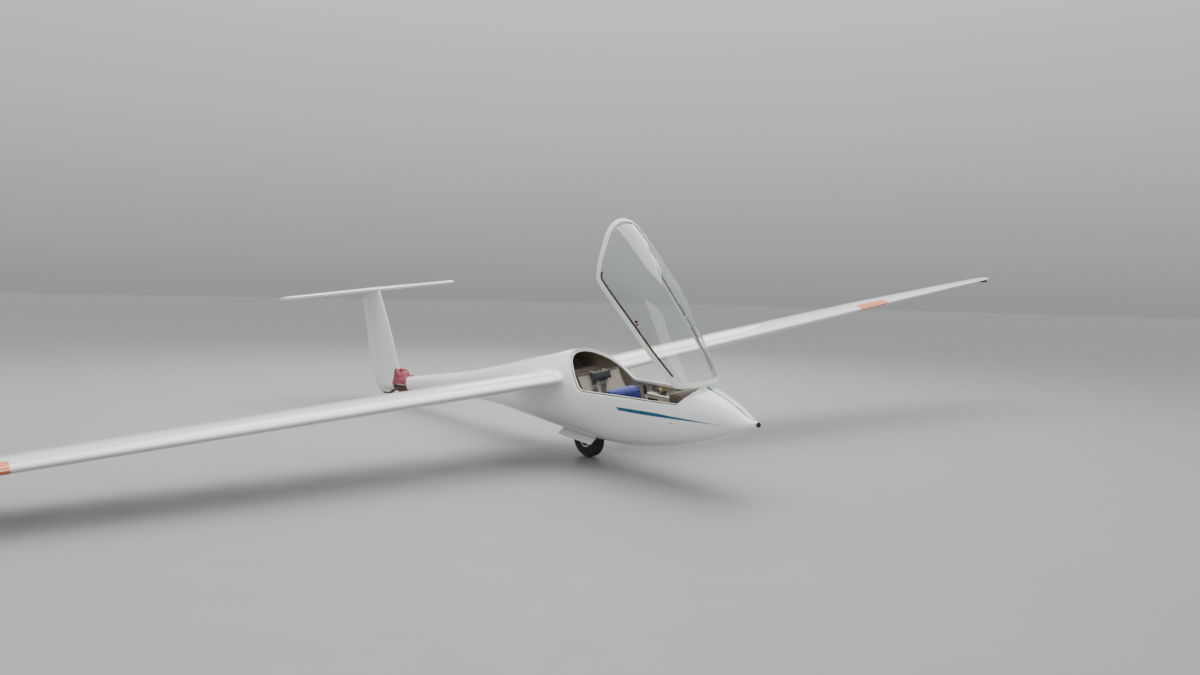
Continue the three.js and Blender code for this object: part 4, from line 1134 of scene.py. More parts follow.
def make_stripes():
    """The side spears and the stripe along the top of the nose"""
    top = curve_through([(1183, 100), (980, 90), (778, 77), (620, 60), (474, 43), (342, 24.5), (200, 3.5)])
    bottom = curve_through([(1157, 73), (980, 62), (780, 50), (620, 40), (475, 30), (342, 18.5), (200, 2.5)])
    spear = skin_patch(top, bottom)
    make("spear_right", spear, "stripe_blue", angle=50)
    make("spear_left", mirrored(spear), "stripe_blue", angle=50)
    rings = []
    for s in np.linspace(20, 460, 44):
        half = 5 + 11 * (s - 20) / 440
        place = np.array([(-s, y, smooth(BODY, 2, s)) for y in np.linspace(-half, half, 5)])
        rings.append(folded(*(on_hull(place, depth) for depth in (-PAINT, 1.2))))
    make("nose_stripe", loft(rings), "stripe_blue", angle=50)


# Canopy
def opened(shape):
    """Turns a shape made closed about the canopy's hinge to where it stands at rest"""
    points, faces = shape
    points = np.array(points, float)
    station, z = CANOPY_HINGE
    x, up = points[:, 0] + station, points[:, 2] - z
    cos, sin = math.cos(CANOPY_OPEN), math.sin(CANOPY_OPEN)
    points[:, 0] = x * cos + up * sin - station
    points[:, 2] = -x * sin + up * cos + z
    return points, faces


def make_canopy():
    """Canopy glass, frame band, bead and inner flanges"""
    def field(station, angle):
        place = hull_point(station, angle, 2)
        return 37.5 - inside_opening(station, place[..., 2])

    points, faces = trimmed(
        lambda s, a: hull_point(s, a, 2), np.arange(430, 2060, 14), np.radians(np.arange(-4, 184.5, 3)),
        field,
    )
    glass = make("canopy_shell", opened((points, faces)), "perspex_clear", "canopy", outward=False)
    walled(glass, sizes_of().canopy_wall * 1000)
    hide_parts("canopy_glass")
    loop = opening_loop(420)
    frame_profile = [
        (3.2, 0.2), (4.2, -0.2), (38, 0), (39.5, 0.8), (39.5, 1.8), (36, 2.2), (36, 7.2), (41, 7.4),
        (41.5, 9), (40, 12.5), (34, 14.5), (6, 15.5), (3, 14.5), (2.6, 12), (2.6, 1.5),
    ]
    band = make("canopy_band", opened(loft(edge_rings(loop, frame_profile), closed=True)),
                "frame_satin", "canopy", angle=30)
    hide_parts("canopy_frame")
    bead_profile = [(37.5, -0.4), (42.2, -0.1), (43.6, 0.9), (43.4, 2.2), (37.5, 1.5)]
    make("canopy_bead", opened(loft(edge_rings(loop, bead_profile), closed=True)),
         "frame_satin", "canopy", angle=40)
    sides = np.where((-loop[:, 0] > 640) & (-loop[:, 0] < 1700))[0]
    flange_profile = [(38, 8.2), (58, 9.6), (59.2, 11), (58, 12.6), (36, 14)]
    flanges = []
    for run in np.split(sides, np.where(np.diff(sides) > 1)[0] + 1):
        flanges.append(loft(edge_rings(loop, flange_profile)[run]))
    # The inner flanges are real, but their dark brown finish is painted shade, standing for the shade on them
    # behind the white band
    make("canopy_flanges_painted_shade", opened(joined(*flanges)), "trim_brown", "canopy", angle=40)


def make_rim():
    """The stepped white moulding round the cockpit opening"""
    loop = opening_loop(420)
    profile = [
        (-14, 10.5), (-3, 10.5), (-1.5, 12), (-1.5, 19), (0, 20.2), (13, 20.8), (16, 21.6), (17.2, 23),
        (17.2, 31), (14, 33), (-10, 30), (-14, 28),
    ]
    gap = (np.abs(loop[:, 1]) < 74) & (-loop[:, 0] < 560)
    rim = make("cockpit_moulding", loft(edge_rings(loop, profile)[~gap]),
               "frame_satin", angle=30)
    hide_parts("cockpit_rim")
    seal = [(4, 20.6), (5, 18.8), (8, 18.2), (11, 18.8), (12, 20.9), (8, 21.4)]
    make("cockpit_seal", loft(edge_rings(loop, seal)[~gap]), "rubber_matt", angle=60)


# Repeated parts, grown by node trees
TREES = {}


def geometry_tree(name, inputs):
    tree = bpy.data.node_groups.new(name, "GeometryNodeTree")
    tree.interface.new_socket("Geometry", in_out="INPUT", socket_type="NodeSocketGeometry")
    for label, (socket_type, default) in inputs.items():
        made = tree.interface.new_socket(label, in_out="INPUT", socket_type=f"NodeSocket{socket_type}")
        if default is not None:
            made.default_value = default
    tree.interface.new_socket("Finish", in_out="INPUT", socket_type="NodeSocketMaterial")
    tree.interface.new_socket("Geometry", in_out="OUTPUT", socket_type="NodeSocketGeometry")
    TREES[name] = tree
    graph = Graph(tree)
    return graph, tree.nodes.new("NodeGroupInput").outputs, tree.nodes.new("NodeGroupOutput").inputs


def end_tree(graph, start, end, instances):
    real = graph.node("GeometryNodeRealizeInstances", {"Geometry": instances}).outputs[0]
    painted = graph.node("GeometryNodeSetMaterial",
                         {"Geometry": real, "Material": start["Finish"]}).outputs[0]
    graph.feed(end["Geometry"], painted)


def on_points(graph, points, instance, turn):
    return graph.node("GeometryNodeInstanceOnPoints", {
        "Points": points, "Instance": instance, "Rotation": turn.outputs["Rotation"],
    }).outputs["Instances"]


def on_facing_points(graph, points, instance):
    """Instances on points, each turned the way its point faces"""
    facing = graph.node("GeometryNodeInputNamedAttribute", {"Name": "facing"}, data_type="FLOAT_VECTOR")
    turn = graph.node("FunctionNodeAlignRotationToVector", {"Vector": facing.outputs["Attribute"]}, axis="Z")
    return on_points(graph, points, instance, turn)


def make_trees():
    """Fasteners on points, marks round dials, and stitches along lines"""
    graph, start, end = geometry_tree("fasteners", {
        "Radius": ("Float", 0.004), "Height": ("Float", 0.0015), "Sides": ("Int", 12),
    })
    top = graph.math("MULTIPLY", start["Radius"], 0.72)
    head = graph.node("GeometryNodeMeshCone", {
        "Vertices": start["Sides"], "Radius Top": top, "Radius Bottom": start["Radius"],
        "Depth": start["Height"],
    }).outputs["Mesh"]
    end_tree(graph, start, end, on_facing_points(graph, start["Geometry"], head))

    graph, start, end = geometry_tree("dial_marks", {
        "Count": ("Int", 20), "Radius": ("Float", 0.03), "Length": ("Float", 0.005),
        "Width": ("Float", 0.001),
    })
    ring = graph.node("GeometryNodeMeshCircle",
                      {"Vertices": start["Count"], "Radius": start["Radius"]}).outputs[0]
    size = graph.node("ShaderNodeCombineXYZ",
                      {"X": start["Length"], "Y": start["Width"], "Z": 0.0004}).outputs[0]
    mark = graph.node("GeometryNodeMeshCube", {"Size": size}).outputs["Mesh"]
    place = graph.node("GeometryNodeInputPosition").outputs[0]
    turn = graph.node("FunctionNodeAlignRotationToVector", {"Vector": place}, axis="X")
    marks = on_points(graph, ring, mark, turn)
    end_tree(graph, start, end, on_facing_points(graph, start["Geometry"], marks))

    graph, start, end = geometry_tree("stitches", {
        "Pitch": ("Float", 0.006), "Length": ("Float", 0.004), "Radius": ("Float", 0.0005),
    })
    line = graph.node("GeometryNodeMeshToCurve", {"Mesh": start["Geometry"]}).outputs[0]
    steps = graph.node("GeometryNodeCurveToPoints", {"Curve": line, "Length": start["Pitch"]}, mode="LENGTH")
    thread = graph.node("GeometryNodeMeshCylinder", {
        "Vertices": 5, "Radius": start["Radius"], "Depth": start["Length"],
    }).outputs["Mesh"]
    end_tree(graph, start, end, on_points(graph, steps.outputs["Points"], thread, steps))


def grown(name, tree, points, values, finish_name, body, slot, facing=None, lines=(), place=TO_ROW):
    """The plain mesh that a node tree grows on points or along lines"""
    mesh = bpy.data.meshes.new(name)
    edges = [(a, b) for line in lines for a, b in zip(line[:-1], line[1:])]
    mesh.from_pydata([tuple(p) for p in np.asarray(points, float) / 1000], edges, [])
    if facing is not None:
        layer = mesh.attributes.new("facing", "FLOAT_VECTOR", "POINT")
        layer.data.foreach_set("vector", np.asarray(facing, np.float32).reshape(-1))
    thing = bpy.data.objects.new(name, mesh)
    bpy.context.scene.collection.objects.link(thing)
    modifier = thing.modifiers.new("grown", "NODES")
    modifier.node_group = TREES[tree]
    sockets = {s.name: s.identifier for s in TREES[tree].interface.items_tree if s.in_out == "INPUT"}
    for key, value in {**values, "Finish": FINISHES[finish_name]}.items():
        modifier[sockets[key]] = value
    baked(thing)
    thing.data.transform(place)
    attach(thing, body)
    return thing


def stitched(name, line_list, finish_name, slot, pitch=6.0):
    """Stitches along each of several lines of points"""
    points, lines = [], []
    for line in line_list:
        lines.append(range(len(points), len(points) + len(line)))
        points += [tuple(p) for p in line]
    values = {"Pitch": pitch / 1000, "Length": pitch * 0.62 / 1000, "Radius": 0.00055}
    return grown(name, "stitches", points, values, finish_name, "airframe", slot, lines=lines)


# Shapes for fittings
def aimed(shape, direction, place=(0, 0, 0)):
    """Turns a shape made about the Y axis to another direction, and moves it"""
    turn = Vector((0, 1, 0)).rotation_difference(Vector(direction)).to_matrix()
    points, faces = shape
    return np.asarray(points) @ np.array(turn).T + np.asarray(place, float), faces


def disc(radius, depth, bevel=0.8, segments=28):
    profile = [(0.005, 0), (radius, 0), (radius, depth - bevel), (radius - bevel, depth), (0.005, depth)]
    return lathe(profile, segments)


def collar(inner, outer, low, high, segments=36):
    bevel = 0.6
    profile = [(inner, low), (outer - bevel, low), (outer, low + bevel), (outer, high - bevel),
               (outer - bevel, high), (inner, high)]
    return lathe(profile, segments)


def station_block(stations, ys, zs):
    """A plain block between two stations, two distances from the middle and two heights"""
    fore, aft = -stations[0], -stations[1]
    return slab([(aft, ys[0]), (fore, ys[0]), (fore, ys[1]), (aft, ys[1])], *zs, axis=2)


def side_slab(outline, low, high):
    return slab(side_view(outline), low, high, axis=1)


def dress(finish_name, *nodes):
    """Gives nodes that are kept as they are their finish"""
    for node in nodes:
        for slot in frame["nodes"][node].material_slots:
            slot.material = FINISHES[finish_name]


# Cockpit
SEAT_LINE = [(1010, -106), (1060, -128), (1200, -190), (1340, -196), (1450, -152), (1464, -142),
             (1560, -55), (1680, 115), (1768, 290), (1777, 313)]
BACK_START = 1460


def seat_frame(count=64):
    """Stations and heights along the seat, with the direction that faces the pilot"""
    line = curve_through(SEAT_LINE, count)
    ahead = np.gradient(line, axis=0)
    ahead /= np.linalg.norm(ahead, axis=1, keepdims=True)
    return line, np.stack([-ahead[:, 1], ahead[:, 0]], 1)


def on_seat_back(height, y, lift):
    """A point over the seat back at a height"""
    line, facing = seat_frame(200)
    line, facing = line[line[:, 0] > BACK_START], facing[line[:, 0] > BACK_START]
    k = np.argmin(np.abs(line[:, 1] - height))
    station, z = line[k] + facing[k] * lift
    return (-station, y, z), (-facing[k][0], 0, facing[k][1])


def make_seat():
    """The moulded seat pan and back, with a turned edge and piping"""
    line, facing = seat_frame()
    across = np.linspace(-1, 1, 33)
    rows, edges = [], []
    for (station, z), (fs, fz) in zip(line, facing):
        half = min(229.0, hull_side(station, z, 32))
        rim = np.clip((np.abs(across) - 0.84) / 0.16, 0, 1) ** 2 * 15
        dish = -5 * np.cos(across * math.pi / 2) ** 2
        groove = -3.0 * np.exp(-((np.abs(across) - 0.52) / 0.035) ** 2)
        lift = 2.5 + rim + dish * 0.4 + groove
        rows.append(np.stack([-(station + fs * lift), across * half, z + fz * lift], 1))
        edges.append((station + fs * 17, half, z + fz * 17))
    seat = make("seat_moulding", loft(rows, round_about=False), "liner_beige", outward=False)
    if seat.data.polygons[0].normal.z < 0:
        seat.data.flip_normals()
    walled(seat, 5)
    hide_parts("seat_pan", "seat_back")
    edges = np.array(edges)
    for label, side in SIDES:
        back = edges[edges[:, 0] > BACK_START]
        path = np.stack([-back[:, 0], side * back[:, 1], back[:, 2]], 1)
        make(f"seat_piping_{label}", bar(path, 5.5, 10), "trim_brown")
    top = [on_seat_back(309, y, 4)[0] for y in np.linspace(-222, 222, 24)]
    make("seat_piping_top", bar(top, 6.5, 10), "trim_brown")


def inflated(thing, pinned, cap, looseness):
    """Cloth under pressure, with the way that each point may move kept short"""
    pressure, steps = 4, 26
    mesh = thing.data
    start = np.array([v.co for v in mesh.vertices])
    group = thing.vertex_groups.new(name="seam")
    group.add([int(i) for i in pinned], 1.0, "REPLACE")
    cloth = thing.modifiers.new("cloth", "CLOTH")
    cloth.settings.use_pressure = True
    cloth.settings.uniform_pressure_force = pressure
    cloth.settings.tension_stiffness = 12
    cloth.settings.shrink_min = -looseness
    cloth.settings.vertex_group_mass = "seam"
    cloth.settings.effector_weights.gravity = 0
    cloth.point_cache.frame_start, cloth.point_cache.frame_end = 1, steps
    scene = bpy.context.scene
    for step in range(1, steps + 1):
        scene.frame_set(step)
    moved = thing.evaluated_get(bpy.context.evaluated_depsgraph_get()).to_mesh()
    end = np.array([v.co for v in moved.vertices])
    thing.modifiers.clear()
    scene.frame_set(1)
    way = end - start
    far = np.linalg.norm(way, axis=1, keepdims=True)
    way *= np.minimum(1, cap / 1000 / np.maximum(far, 1e-9))
    mesh.vertices.foreach_set("co", (start + way).reshape(-1))
    mesh.update()
    thing.vertex_groups.clear()


def make_cushion(name, outline, half, finish_name, node, cap, voxel=6.5, swell=5,
                 piping=None, corner=16, looseness=0.0):
    """A sewn cushion: two side panels and a band, blown up and piped along its seams"""
    centre = np.mean(outline, 0)
    outline = np.array(outline, float)
    outline += (centre - outline) / np.linalg.norm(centre - outline, axis=1, keepdims=True) * swell
    outline = rounded([(*c, corner) for c in outline], 8)
    half -= swell
    thing = make(name, side_slab(outline, -half, half), finish_name,
                 place=Matrix.Identity(4), angle=180)
    voxels = thing.modifiers.new("voxels", "REMESH")
    voxels.mode = "VOXEL"
    voxels.voxel_size = voxel / 1000
    soft = thing.modifiers.new("soft", "SMOOTH")
    soft.factor, soft.iterations = 0.5, 6
    baked(thing, 180)
    points = np.array([v.co for v in thing.data.vertices]) * 1000
    loop = resampled(side_view(outline), 240, closed=True)
    gap = np.array([np.min(np.hypot(loop[:, 0] - x, loop[:, 1] - z)) for x, _, z in points])
    seam = np.where((gap < voxel * 1.1) & (np.abs(points[:, 1]) > half - voxel * 1.1))[0]
    inflated(thing, seam, cap, looseness)
    finer = thing.modifiers.new("finer", "SUBSURF")
    finer.levels = finer.render_levels = 1
    baked(thing, 180)
    thing.data.materials.clear()
    thing.data.materials.append(FINISHES[finish_name])
    thing.data.transform(TO_ROW)
    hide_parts(node)
    for label, side in SIDES:
        path = np.stack([loop[:, 0], np.full(len(loop), side * (half - 1.5)), loop[:, 1]], 1)[::2]
        make(f"{name}_piping_{label}", bar(path, 3.2, 8, closed=True), piping or finish_name)
    return thing


SEAT_CUSHION = [(1022, -98), (1062, -119), (1200, -180), (1340, -187), (1436, -148),
                (1462, -86), (1330, -118), (1180, -104), (1030, -60)]
BACK_CUSHION = [(1396, -92), (1384, 40), (1390, 148), (1412, 178), (1490, 186), (1556, 146),
                (1612, 66), (1566, -24), (1488, -80)]
HEADREST = [(1698, 246), (1746, 246), (1762, 288), (1768, 306), (1742, 326), (1716, 314)]


def make_cushions():
    make_cushion("seat_pad", SEAT_CUSHION, 190, "fabric_grey", "seat_cushion", 7,
                 swell=7, piping="leather_black", looseness=0.04)
    make_cushion("back_pad", BACK_CUSHION, 150, "fabric_blue", "back_cushion", 11,
                 swell=7, corner=70, looseness=0.10)
    make_cushion("head_pad", HEADREST, 95, "leather_black", "headrest", 4,
                 voxel=4.5, swell=3)


def cushion_top(station, lift):
    """A height over the seat cushion"""
    return straight(np.array(SEAT_CUSHION[:-5:-1]), 1, station) + lift


def make_harness():
    """Shoulder and lap straps with their adjusters and a round buckle"""
    straps, seams = [], []

    def lay(points, normals, width):
        line = curve_through(points, 36)
        table, places = (np.linspace(0, 1, count) for count in (len(normals), len(line)))
        facing = np.stack([np.interp(places, table, column) for column in np.array(normals, float).T], 1)
        straps.append(strap(line, facing, width, 2.2))
        facing /= np.linalg.norm(facing, axis=1, keepdims=True)
        side = np.cross(tangents(line, False), facing)
        for reach in (-0.4, 0.4):
            seams.append(line + side * width * reach + facing * 1.7)

    for y_top, y_low in ((72, -52), (-60, -118)):
        points, normals = [(-1800, y_top, 292), (-1786, y_top, 326)], [(0.5, 0, 0.9), (-0.1, 0, 1)]
        for share in np.linspace(0, 1, 9):
            z = 304 - share * 226
            place, facing = on_seat_back(z, y_top + (y_low - y_top) * share, 13)
            points.append(place)
            normals.append(facing)
        lay(points, normals, 46)
    for side in (1, -1):
        points = [(-1448, side * 205, -118), (-1420, side * 178, cushion_top(1420, 12))]
        points += [(-s, side * y, cushion_top(s, 12)) for s, y in ((1372, 120), (1330, 70), (1296, 26))]
        lay(points, [(0, -side * 0.3, 1)] + [(0, 0, 1)] * 4, 44)
    lay([(-1262, 0, cushion_top(1262, 12)), (-1200, 0, cushion_top(1200, 11)),
         (-1120, 0, cushion_top(1120, 11)), (-1052, 0, cushion_top(1052, 12)),
         (-1020, 0, -62), (-1008, 0, -96)],
        [(0, 0, 1), (0, 0, 1), (0, 0, 1), (0.3, 0, 1), (0.9, 0, 0.4), (1, 0, 0)], 40)
    make("harness_webbing", joined(*straps), "webbing_brown")
    stitched("harness_stitches", seams, "thread_brown", "cushion_fabric")
    top = cushion_top(1280, 14)
    buckle = [
        aimed(lathe([(0.005, 0), (33, 0), (34, 2), (34, 11), (31, 14), (20, 15.5), (0.005, 16)], 40),
              (0, 0, 1), (-1280, 0, top)),
    ]
    for angle in (0, 60, 120, 180, 240, 300):
        direction = (math.cos(math.radians(angle)), math.sin(math.radians(angle)), 0)
        buckle.append(aimed(collar(3, 7, 0, 5, 20), (0, 0, 1),
                            (-1280 + 36 * direction[0], 36 * direction[1], top + 3)))
    make("harness_buckle", joined(*buckle), "alloy_worn")
    fittings = []
    for z, y in ((210, 20), (190, -92)):
        place, facing = on_seat_back(z, y, 16)
        frame_bar = [(-28, -12), (28, -12), (28, 12), (-28, 12)]
        across, along = np.array((0, 1, 0)), np.cross((0, 1, 0), facing)
        corners = [np.array(place) + across * a + along * b for a, b in frame_bar]
        fittings.append(bar(rounded_loop(corners), 2.4, 8, closed=True))
        fittings.append(bar([corners[0] + along * 12, corners[1] + along * 12], 2.2, 8))
    make("harness_adjusters", joined(*fittings), "steel_zinc")


def rounded_loop(corners):
    """A closed line through corners in space, with the corners turned"""
    corners = np.array(corners, float)
    dense = resampled(corners, 160, closed=True)
    for _ in range(6):
        dense = (np.roll(dense, 1, 0) + dense * 2 + np.roll(dense, -1, 0)) / 4
    return resampled(dense, 32, closed=True)


# Instrument pod, stick, pedals and side panels
FACE_TILT = math.atan2(10, 140)
FACE = Matrix.Translation((-0.7403, 0, 0.126)) @ Matrix((
    (0, -math.cos(FACE_TILT), math.sin(FACE_TILT), 0), (1, 0, 0, 0),
    (0, math.sin(FACE_TILT), math.cos(FACE_TILT), 0), (0, 0, 0, 1),
))
HOOD = [(604, 88, 62, 138), (618, 108, 60, 152), (645, 122, 60, 184), (675, 127, 60, 203),
        (710, 129, 60, 204), (743, 129, 60, 199), (743, 124, 64, 195), (738, 124, 64, 195)]
DIALS = [(-82, 16, 36, 200), (0, 16, 36, 130), (82, 16, 36, 60), (-104, -40, 20, 300), (-58, -40, 20, 20),
         (-12, -40, 20, 250)]


def box_ring(half, low, high, radius):
    corners = [(-half, low), (half, low), (half, high), (-half, high)]
    return rounded([(*corner, radius) for corner in corners], 6)


def make_pod():
    """The pod on its column, with dials, a radio and screws in its face"""
    rings = []
    for station, half, low, high in HOOD:
        section = box_ring(half, low, high, 24)
        tilt = np.clip((station - 675) / 68, 0, 1) * math.tan(FACE_TILT) * (section[:, 1] - 126)
        rings.append(np.column_stack([-(station - tilt), section]))
    hood = make("pod_hood", loft(rings), "trim_brown", angle=40)
    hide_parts("instrument_pedestal")
    column = rounded([(-728, -56, 16), (-612, -56, 16), (-612, 56, 16), (-728, 56, 16)], 6)
    make("pod_column", slab(column, -200, 61, axis=2), "trim_brown", angle=40)
    place = TO_ROW @ FACE
    face = slab(box_ring(123, -61, 68, 22), -1.5, 0.6)
    make("pod_face", face, "panel_crackle", place=place)
    shapes = {"bezels": [], "dials": [], "hands": []}
    screws, spots = [], {36: [], 20: []}
    for x, z, radius, angle in DIALS:
        move = (x, 0, z)
        shapes["bezels"].append(aimed(collar(radius - 5, radius, 0, 5.5), (0, 1, 0), move))
        shapes["dials"].append(aimed(disc(radius - 4.8, 1.6, 0.2), (0, 1, 0), move))
        reach = (radius - 10) * np.array((math.cos(math.radians(angle)), 0, math.sin(math.radians(angle))))
        start, stop = (np.array(move) + (0, 2.3, 0) + reach * share for share in (-0.2, 1))
        hand = bar([start, (start + stop) / 2, stop], [1.4, 1.1, 0.4], 6, flat=0.4, up=(0, 1, 0))
        shapes["hands"] += [hand, aimed(disc(2.4, 3, 0.4, 12), (0, 1, 0), move)]
        spots[radius].append((x, 1.8, z))
        corner = radius * 0.84
        screws += [(x + a * corner, 0.9, z + b * corner) for a in (-1, 1) for b in (-1, 1)]
    shapes["glasses"] = [aimed(disc(r - 5.2, 0.8, 0.2), (0, 1, 0), (x, 4, z)) for x, z, r, _ in DIALS]
    shapes["bezels"] += [slab(box_ring(40, -15, 15, 4) + (78, -40), 0, 5),
                         aimed(disc(7, 15), (0, 1, 0), (52, 0, -40)),
                         aimed(disc(7, 15), (0, 1, 0), (106, 0, -40))]
    shapes["dials"].append(slab(box_ring(17, -8, 8, 2) + (79, -40), 4.8, 5.6))
    looks = {"bezels": ("knob_plastic", "panel_black"), "dials": ("dial_black", "panel_black"),
             "hands": ("dial_white", "panel_black"), "glasses": ("perspex_clear", "perspex")}
    for key, (look, slot) in looks.items():
        make(f"pod_{key}", joined(*shapes[key]), look, place=place)
    for radius, count, length in ((36, 40, 4.0), (20, 20, 2.6)):
        values = {"Count": count, "Radius": (radius - 8.5) / 1000, "Length": length / 1000, "Width": 0.0009}
        grown(f"pod_marks_{radius}", "dial_marks", spots[radius], values, "dial_white", "airframe",
              "panel_black",
              facing=[(0, 1, 0)] * len(spots[radius]), place=place)
    values = {"Radius": 0.003, "Height": 0.0018, "Sides": 10}
    grown("pod_screws", "fasteners", screws, values, "steel_zinc", "airframe", "steel",
          facing=[(0, 1, 0)] * len(screws), place=place)


def make_stick():
    """The stick with its gaiter and grip, and the rudder pedals"""
    gaiter = [(0.005, 0), (38, 0), (38, 6), (33, 11), (36, 16), (31, 21), (33.5, 27), (27, 33), (29, 39),
              (19, 47), (10, 52), (0.005, 52)]
    foot = make("stick_gaiter", aimed(lathe(gaiter, 40), (0, 0, 1), (-960, 0, -254)),
                "leather_black", angle=60)
    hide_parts("control_stick")
    neck = [(-960, 0, -205), (-972, 0, -90), (-1018, 0, -18), (-1095, 0, 24), (-1139, 0, 70), (-1159, 0, 158)]
    make("stick_tube", bar(curve_through(neck, 44), 8, 16, up=(0, 1, 0)), "alloy_worn")
    grip = np.linspace((-1157, 0, 148), (-1168, 0, 232), 16)
    radii = [9, 13, 14.5, 15.5, 14.4, 15.4, 14.4, 15.4, 14.4, 15.6, 15.8, 15.8, 15.2, 14, 11, 6]
    make("stick_grip", bar(grip, radii, 20, up=(0, 1, 0)), "rubber_matt", angle=60)
    button = aimed(disc(4.5, 6, 1.2, 16), (-0.6, 0, 0.8), (-1170, 0, 222))
    make("stick_button", button, "knob_red")
    metal, treads = [bar([(-448, -112, -62), (-448, 112, -62)], 9, 16)], []
    metal.append(station_block((437, 459), (-9, 9), (-148, -62)))
    for y in (-78, 78):
        corners = [(-446, y - 27, -66), (-446, y + 27, -66), (-472, y + 27, 57), (-472, y - 27, 57)]
        metal.append(bar(rounded_loop(corners), 4.6, 10, closed=True, up=(1, 0, 0.2)))
        metal.append(side_slab([(444, -68), (448, -68), (474, 58), (470, 58)], y - 27, y + 27))
        for share in np.linspace(0.12, 0.9, 7):
            s, z = 449.5 + 26 * share, -66 + 123 * share
            treads.append(bar([(-s, y - 24, z), (-s, y + 24, z)], 2.6, 8))
    pedals = make("pedal_frames", joined(*metal), "alloy_worn")
    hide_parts("rudder_pedals")
    make("pedal_treads", joined(*treads), "rubber_matt")


LID_FROM, LID_TO, LID_EDGE = 770, 1394, 194
LEVERS = {"left": [(930, -30, "knob_blue"), (1080, -22, "knob_green"), (1240, -16, "knob_yellow")],
          "right": [(980, -24, "knob_plastic")]}


def lid_top(station):
    return 85 + (station - 1108) * 0.1


def make_side_panels():
    """Wall liners, shelves with black blocks as painted shade in their lever slots and map pockets, knobs and
    the port handle
    """
    heights = np.linspace(-129, 111, 18)
    liner = []
    for s in np.linspace(742, 1598, 34):
        widths = [hull_side(s, heights, SKIN + inset) for inset in (2, 8.5)]
        liner.append(folded(*(np.column_stack([np.full(18, -s), width, heights]) for width in widths)))
    lid = []
    for s in np.linspace(LID_FROM, LID_TO, 20):
        top, wall = lid_top(s), hull_side(s, lid_top(s), SKIN + 3)
        lid.append([(-s, LID_EDGE, top), (-s, wall, top), (-s, wall, top - 8), (-s, LID_EDGE, top - 8)])
    fore, aft = LID_FROM + 2, LID_TO - 2
    cheek = rounded([(fore, -50, 30), (aft, -50, 30), (aft, lid_top(aft) - 8, 2),
                     (fore, lid_top(fore) - 8, 2)])
    pocket = rounded([(1384, 74, 8), (1240, 66, 10), (1230, 26, 10), (1330, -6, 16), (1384, 8, 12)])
    edge = [(-s, LID_EDGE + 2, lid_top(s) + 1) for s in np.linspace(LID_FROM, LID_TO + 4, 20)]
    for label, side in SIDES:
        wall = make(f"wall_liner_{label}", sided(loft(liner), side), "liner_beige")
        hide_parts(f"side_console_{label}")
        shelf = joined(loft(lid), side_slab(cheek, LID_EDGE, LID_EDGE + 7))
        shelf = make(f"side_shelf_{label}", sided(shelf, side), "liner_beige")
        bevelled(shelf, 1.5)
        make(f"shelf_edge_{label}", sided(bar(edge, 5, 12), side), "frame_satin")
        # A black sheet in each map pocket's opening and black blocks at the lever slots: painted shade for
        # the shade inside them
        dark = [side_slab(pocket, LID_EDGE - 0.8, LID_EDGE + 1)]
        rods = []
        for s, lean, look in LEVERS[label]:
            dark.append(station_block((s - 62, s + 48), (227, 237), (lid_top(s) - 6, lid_top(s) + 7.2)))
            start = np.array((-s, 232, lid_top(s) - 2.0))
            stop = np.array((-s - lean, 222, lid_top(s) + 58))
            way = stop - start
            rods.append(bar([start, start + way * 0.7], 3.6, 10))
            knob = lathe([(0.005, -24), (6, -24), (8, -18), (7, -10), (10.5, -3), (11, 2), (8, 7),
                          (0.005, 8.5)], 24)
            knob = aimed(knob, way / np.linalg.norm(way), start + way * 0.86)
            make(f"lever_{label}_{s}", sided(knob, side), look, angle=50)
        make(f"shelf_painted_shade_{label}", sided(joined(*dark), side), "dial_black")
        make(f"lever_rods_{label}", sided(joined(*rods), side), "steel_zinc")
        lip = [(-s, LID_EDGE - 1, z) for s, z in resampled(pocket, 60, closed=True)]
        lip = bar(lip, 2.4, 8, closed=True, up=(0, 1, 0))
        make(f"pocket_lip_{label}", sided(lip, side), "trim_brown")
    handle = [(1398, 141, 12), (1388, 139, 40), (1320, 126, 44), (1250, 112, 40), (1240, 110, 12)]
    path = [(-s, hull_side(s, z, inset), z) for s, z, inset in handle]
    make("wall_handle", bar(curve_through(path, 30), 8, 14), "rubber_matt")


def make_bulkheads():
    """The bulkhead behind the cockpit and the tunnel of the wing spars"""
    turn = np.linspace(0, math.tau, 72, endpoint=False)
    rings = [hull_point(np.full(72, s), turn, SKIN + 2) for s in (2312.0, 2319.0)]
    tunnel = rounded([(-2226, 178, 26), (-2098, 178, 26), (-2098, 318, 40), (-2226, 318, 40)])
    make("rear_bulkhead", loft(rings), "liner_beige")
    make("spar_tunnel", slab(tunnel, -296, 296), "liner_beige", angle=40)
    ends = (-150, 150)
    pins = [aimed(collar(5, 15, 0, 9), (1, 0, 0), (-2098, y, 250)) for y in ends]
    pins += [bar([(-2098, y, 250), (-2074, y, 250), (-2068, y + 16, 250)], 6, 12) for y in ends]
    make("spar_pins", joined(*pins), "steel_zinc")


# Canopy fittings
def skin_line(points, depth, side=1, count=30):
    """A smooth line under the skin through stations and heights"""
    return on_hull(side_place(curve_through(points, count), side), depth)


